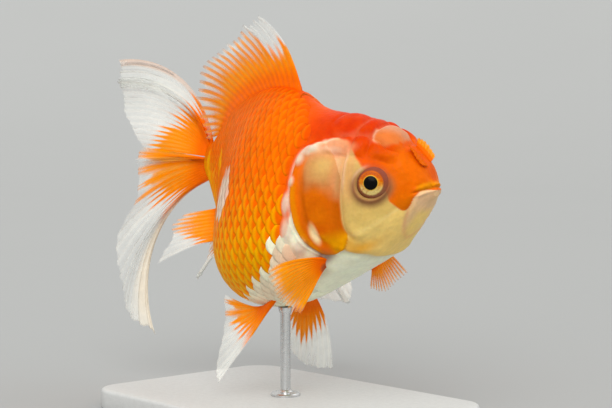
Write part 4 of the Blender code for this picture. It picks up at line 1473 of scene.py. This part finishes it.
def look_from(azimuth, elevation, distance, target):
    """A place at an angle round the target: azimuth from -Y towards +X."""
    turn, lift = math.radians(azimuth), math.radians(elevation)
    way = Vector((math.sin(turn) * math.cos(lift), -math.cos(turn) * math.cos(lift), math.sin(lift)))
    return Vector(target) + way * distance


def aim(made, target):
    """Turns a light or the camera towards a target."""
    made.rotation_euler = (Vector(target) - made.location).to_track_quat("-Z", "Y").to_euler()


def add_light(name, azimuth, elevation, strength, spread, colour):
    """A far, soft light from one direction; spread is the angle it fills, in degrees."""
    bpy.ops.object.light_add(type="SUN", location=look_from(azimuth, elevation, 1.0, TARGET))
    light = bpy.context.active_object
    light.name = light.data.name = name
    light.data.energy, light.data.color = strength, colour
    light.data.angle = math.radians(spread)
    aim(light, TARGET)


def make_stage(stage):
    """A pale floor that curves up into an even backdrop all round, soft light and the camera."""
    turns = [math.radians(degrees) for degrees in range(0, 41, 4)]
    rise = [
        (FLOOR_RADIUS + FLOOR_CURVE * math.sin(turn), FLOOR_CURVE - FLOOR_CURVE * math.cos(turn))
        for turn in turns
    ]
    floor = lathe("floor", [(0.0, 0.0), (FLAT_FLOOR, 0.0), *rise], FLOOR_SEGMENTS)
    bpy.ops.object.mode_set(mode="EDIT")
    bpy.ops.mesh.select_all(action="SELECT")
    bpy.ops.mesh.normals_make_consistent(inside=True)
    bpy.ops.object.mode_set(mode="OBJECT")
    finish, tree, shader = new_material("backdrop", Roughness=0.85)
    mottle = group_in(tree, "Mottle", {"Colour": (*stage.floor, 1.0), "Cells": 3.0, "Depth": 0.015})
    feed(tree, shader, {"Base Color": mottle.outputs["Colour"]})
    floor.data.materials.append(finish)
    floor.data.shade_smooth()
    world = bpy.data.worlds.new("studio")
    bpy.context.scene.world = world
    world.use_nodes = True
    sky = world.node_tree.nodes["Background"]
    sky.inputs["Color"].default_value = (1.0, 0.985, 0.94, 1.0)
    sky.inputs["Strength"].default_value = stage.ambient
    for name, azimuth, elevation, share, spread, colour in LIGHTS:
        add_light(name, azimuth, elevation, stage.key_strength * share, spread, colour)
    spot = look_from(CAMERA_AZIMUTH, CAMERA_ELEVATION, CAMERA_DISTANCE, TARGET)
    bpy.ops.object.camera_add(location=spot)
    camera = bpy.context.active_object
    camera.name = "camera"
    camera.data.sensor_width, camera.data.lens = CAMERA_SENSOR, CAMERA_LENS
    camera.data.clip_start, camera.data.clip_end = CAMERA_CLIP
    aim(camera, TARGET)
    bpy.context.scene.camera = camera
    bpy.context.scene.view_settings.view_transform = "Standard"


def colour_property(name, description, default):
    """A colour that the panel shows."""
    return FloatVectorProperty(
        name=name, description=description, default=default, subtype="COLOR", size=3, min=0.0, max=1.0
    )


def length_property(name, description, default):
    """A length that the panel shows, in metres."""
    return FloatProperty(
        name=name, description=description, default=default, min=0.0, unit="LENGTH", precision=5
    )


class FishSizes(bpy.types.PropertyGroup):
    """Sizes of the fish's small features."""

    scales_round: IntProperty(
        name="Scales round the trunk",
        description="Scales in one ring of the trunk",
        default=27,
        min=12,
        max=60,
    )
    scale_thickness: length_property("Scale thickness", "Thickness of one scale", 0.00006)
    web_thickness: length_property("Web thickness", "Thickness of the fins between their rays", 0.0002)
    pupil_radius: length_property("Pupil radius", "Radius of the pupils", 0.00172)
    iris_radius: length_property("Iris radius", "Radius of the coloured part of the eyes", 0.0031)


class FishColours(bpy.types.PropertyGroup):
    """Colours of the fish and its stand."""

    orange: colour_property("Orange", "Flanks and back", (0.83, 0.11, 0.0))
    snout: colour_property("Snout", "Snout and the skin round the eyes", (0.74, 0.13, 0.0))
    red: colour_property("Red", "Crown of the head and line of the back", (0.59, 0.03, 0.0))
    light_orange: colour_property("Light orange", "Lower flanks", (0.90, 0.25, 0.0))
    gold: colour_property("Gold", "Upper lip, throat and foot of the gill covers", (0.74, 0.31, 0.0))
    amber: colour_property("Amber", "Plates of the gill covers", (0.58, 0.10, 0.0))
    light_amber: colour_property("Light amber", "Brighter parts of those plates", (0.63, 0.14, 0.0))
    # Amber shade is painted shade in the gill covers' folds and in the valley between each plate and its
    # rim.
    amber_shade: colour_property("Dark amber", "Folds of the gill covers", (0.46, 0.09, 0.0))
    rim_orange: colour_property("Rim orange", "Rear rims of the gill covers", (0.76, 0.14, 0.0))
    forehead: colour_property("Forehead", "Patch over the forehead", (0.66, 0.17, 0.035))
    blush: colour_property("Blush", "Paler front of that patch", (0.60, 0.25, 0.13))
    peach: colour_property("Peach", "Clear skin over the gills", (0.56, 0.23, 0.07))
    pale_gold: colour_property("Pale gold", "Lower cheeks", (0.68, 0.51, 0.16))
    cream: colour_property("Cream", "Cheeks", (0.60, 0.41, 0.12))
    chin: colour_property("Chin", "Chin and throat", (0.90, 0.62, 0.19))
    lip: colour_property("Lip", "Lower lip and jaw", (0.78, 0.50, 0.28))
    lump: colour_property("Lump", "Lumps of skin behind the gill covers", (0.74, 0.62, 0.49))
    pink: colour_property("Pink", "Bare skin behind the crown", (0.74, 0.28, 0.13))
    # Pale pink is the vent's own colour; on the cheeks' folds, the bare pink skin above the gill covers
    # and the forehead patch's rim it is a painted highlight.
    pale_pink: colour_property("Pale pink", "Edges of folds and the vent", (0.82, 0.52, 0.36))
    white: colour_property("White", "Belly", (0.86, 0.88, 0.67))
    # Shade is painted shade: in the face's folds, below the eyes and behind the pectoral fins' roots.
    shade: colour_property("Shade", "Dusky marks on the face", (0.40, 0.24, 0.08))
    # Deep shade is painted shade: round the eyes' sockets and on the ball beyond each iris, in the mouth's
    # line, in the crease at the gill covers' foot and at the pectoral fins' roots.
    deep_shade: colour_property("Maroon", "Rims of the eyes and line of the mouth", (0.22, 0.055, 0.035))
    # Glint gold is painted glints: the arcs on the scales and the bright spots on the tail stalk.
    glint_gold: colour_property("Scale gold", "Bright arcs on the scales", (0.94, 0.50, 0.0))
    fin_orange: colour_property("Fin orange", "Outer orange of the fins", (0.92, 0.23, 0.0))
    fin_root: colour_property("Fin root", "Roots of the fins", (0.82, 0.13, 0.0))
    fin_gold: colour_property("Fin gold", "Webs of the orange fins", (0.88, 0.34, 0.0))
    fin_white: colour_property("Fin white", "White of the fins", (0.92, 0.94, 0.90))
    fin_ray: colour_property("Fin ray", "Rays in the white of the fins", (0.92, 0.88, 0.78))
    fin_ribbon: colour_property("Fin ribbon", "Leading edge of the tail", (0.90, 0.80, 0.64))
    iris: colour_property("Iris", "Middle of the iris", (0.74, 0.26, 0.01))
    iris_top: colour_property("Iris top", "Top of the iris", (0.60, 0.11, 0.0))
    iris_low: colour_property("Iris foot", "Foot of the iris", (0.84, 0.64, 0.22))
    eye_ring: colour_property("Eye ring", "Ring round the pupil", (0.78, 0.50, 0.05))
    base: colour_property("Base", "Base of the stand", (0.55, 0.56, 0.56))
    rod: colour_property("Rod", "Rod of the stand", (0.62, 0.63, 0.64))


class StageSettings(bpy.types.PropertyGroup):
    """Floor and light."""

    floor: colour_property("Floor", "Floor and backdrop", (0.362, 0.373, 0.378))
    ambient: FloatProperty(name="Ambient", description="Strength of the even light", default=0.85, min=0.0)
    key_strength: FloatProperty(name="Key", description="Strength of the main light", default=2.0, min=0.0)


class GOLDFISH_OT_build_skin(bpy.types.Operator):
    """Build the skin over the head, trunk, tail stalk and gill covers"""

    bl_idname = "goldfish.build_skin"
    bl_label = "Skin"

    def execute(self, context):
        make_skin(context.scene.fish_colours)
        return {"FINISHED"}


class GOLDFISH_OT_build_scales(bpy.types.Operator):
    """Build the scales of both sides"""

    bl_idname = "goldfish.build_scales"
    bl_label = "Scales"

    def execute(self, context):
        make_scales(context.scene.fish_sizes, context.scene.fish_colours)
        return {"FINISHED"}


class GOLDFISH_OT_build_fins(bpy.types.Operator):
    """Build the fins and the flaps over the nostrils"""

    bl_idname = "goldfish.build_fins"
    bl_label = "Fins"

    def execute(self, context):
        make_fins(context.scene.fish_sizes, context.scene.fish_colours)
        return {"FINISHED"}


class GOLDFISH_OT_build_eyes(bpy.types.Operator):
    """Build both eyes"""

    bl_idname = "goldfish.build_eyes"
    bl_label = "Eyes"

    def execute(self, context):
        finish = eye_material()
        for side in (1, -1):
            make_eye(side, finish, context.scene.fish_sizes, context.scene.fish_colours)
        return {"FINISHED"}


class GOLDFISH_OT_build_stand(bpy.types.Operator):
    """Build the base and the rod"""

    bl_idname = "goldfish.build_stand"
    bl_label = "Stand"

    def execute(self, context):
        make_stand_base(context.scene.fish_colours)
        make_stand_rod(context.scene.fish_colours)
        return {"FINISHED"}


class GOLDFISH_OT_build_stage(bpy.types.Operator):
    """Build the floor, the lights and the camera"""

    bl_idname = "goldfish.build_stage"
    bl_label = "Stage"

    def execute(self, context):
        make_stage(context.scene.stage_settings)
        return {"FINISHED"}


class GOLDFISH_PT_panel(bpy.types.Panel):
    """The goldfish's pieces, with their sizes and colours"""

    bl_label = "Goldfish"
    bl_idname = "GOLDFISH_PT_panel"
    bl_space_type = "VIEW_3D"
    bl_region_type = "UI"
    bl_category = "Goldfish"

    def draw(self, context):
        for step in STEPS:
            self.layout.operator("goldfish." + step)
        for name in GROUPS:
            column = self.layout.column()
            group = getattr(context.scene, name)
            for field in group.bl_rna.properties:
                if field.identifier not in ("rna_type", "name"):
                    column.prop(group, field.identifier)


STEPS = ("build_skin", "build_scales", "build_eyes", "build_fins", "build_stand", "build_stage")
GROUPS = {"fish_sizes": FishSizes, "fish_colours": FishColours, "stage_settings": StageSettings}
CLASSES = (
    FishSizes,
    FishColours,
    StageSettings,
    GOLDFISH_OT_build_skin,
    GOLDFISH_OT_build_scales,
    GOLDFISH_OT_build_fins,
    GOLDFISH_OT_build_eyes,
    GOLDFISH_OT_build_stand,
    GOLDFISH_OT_build_stage,
    GOLDFISH_PT_panel,
)


def register():
    """Adds the groups, the operators and the panel."""
    for made in CLASSES:
        bpy.utils.register_class(made)
    for name, group in GROUPS.items():
        setattr(bpy.types.Scene, name, PointerProperty(type=group))


def unregister():
    """Takes them away again."""
    for name in GROUPS:
        delattr(bpy.types.Scene, name)
    for made in reversed(CLASSES):
        bpy.utils.unregister_class(made)


def main():
    """Builds everything through the operators, and keeps the sizes."""
    register()
    mottle_group()
    plate_group()
    for step in STEPS:
        getattr(bpy.ops.goldfish, step)()


if __name__ == "__main__":
    main()
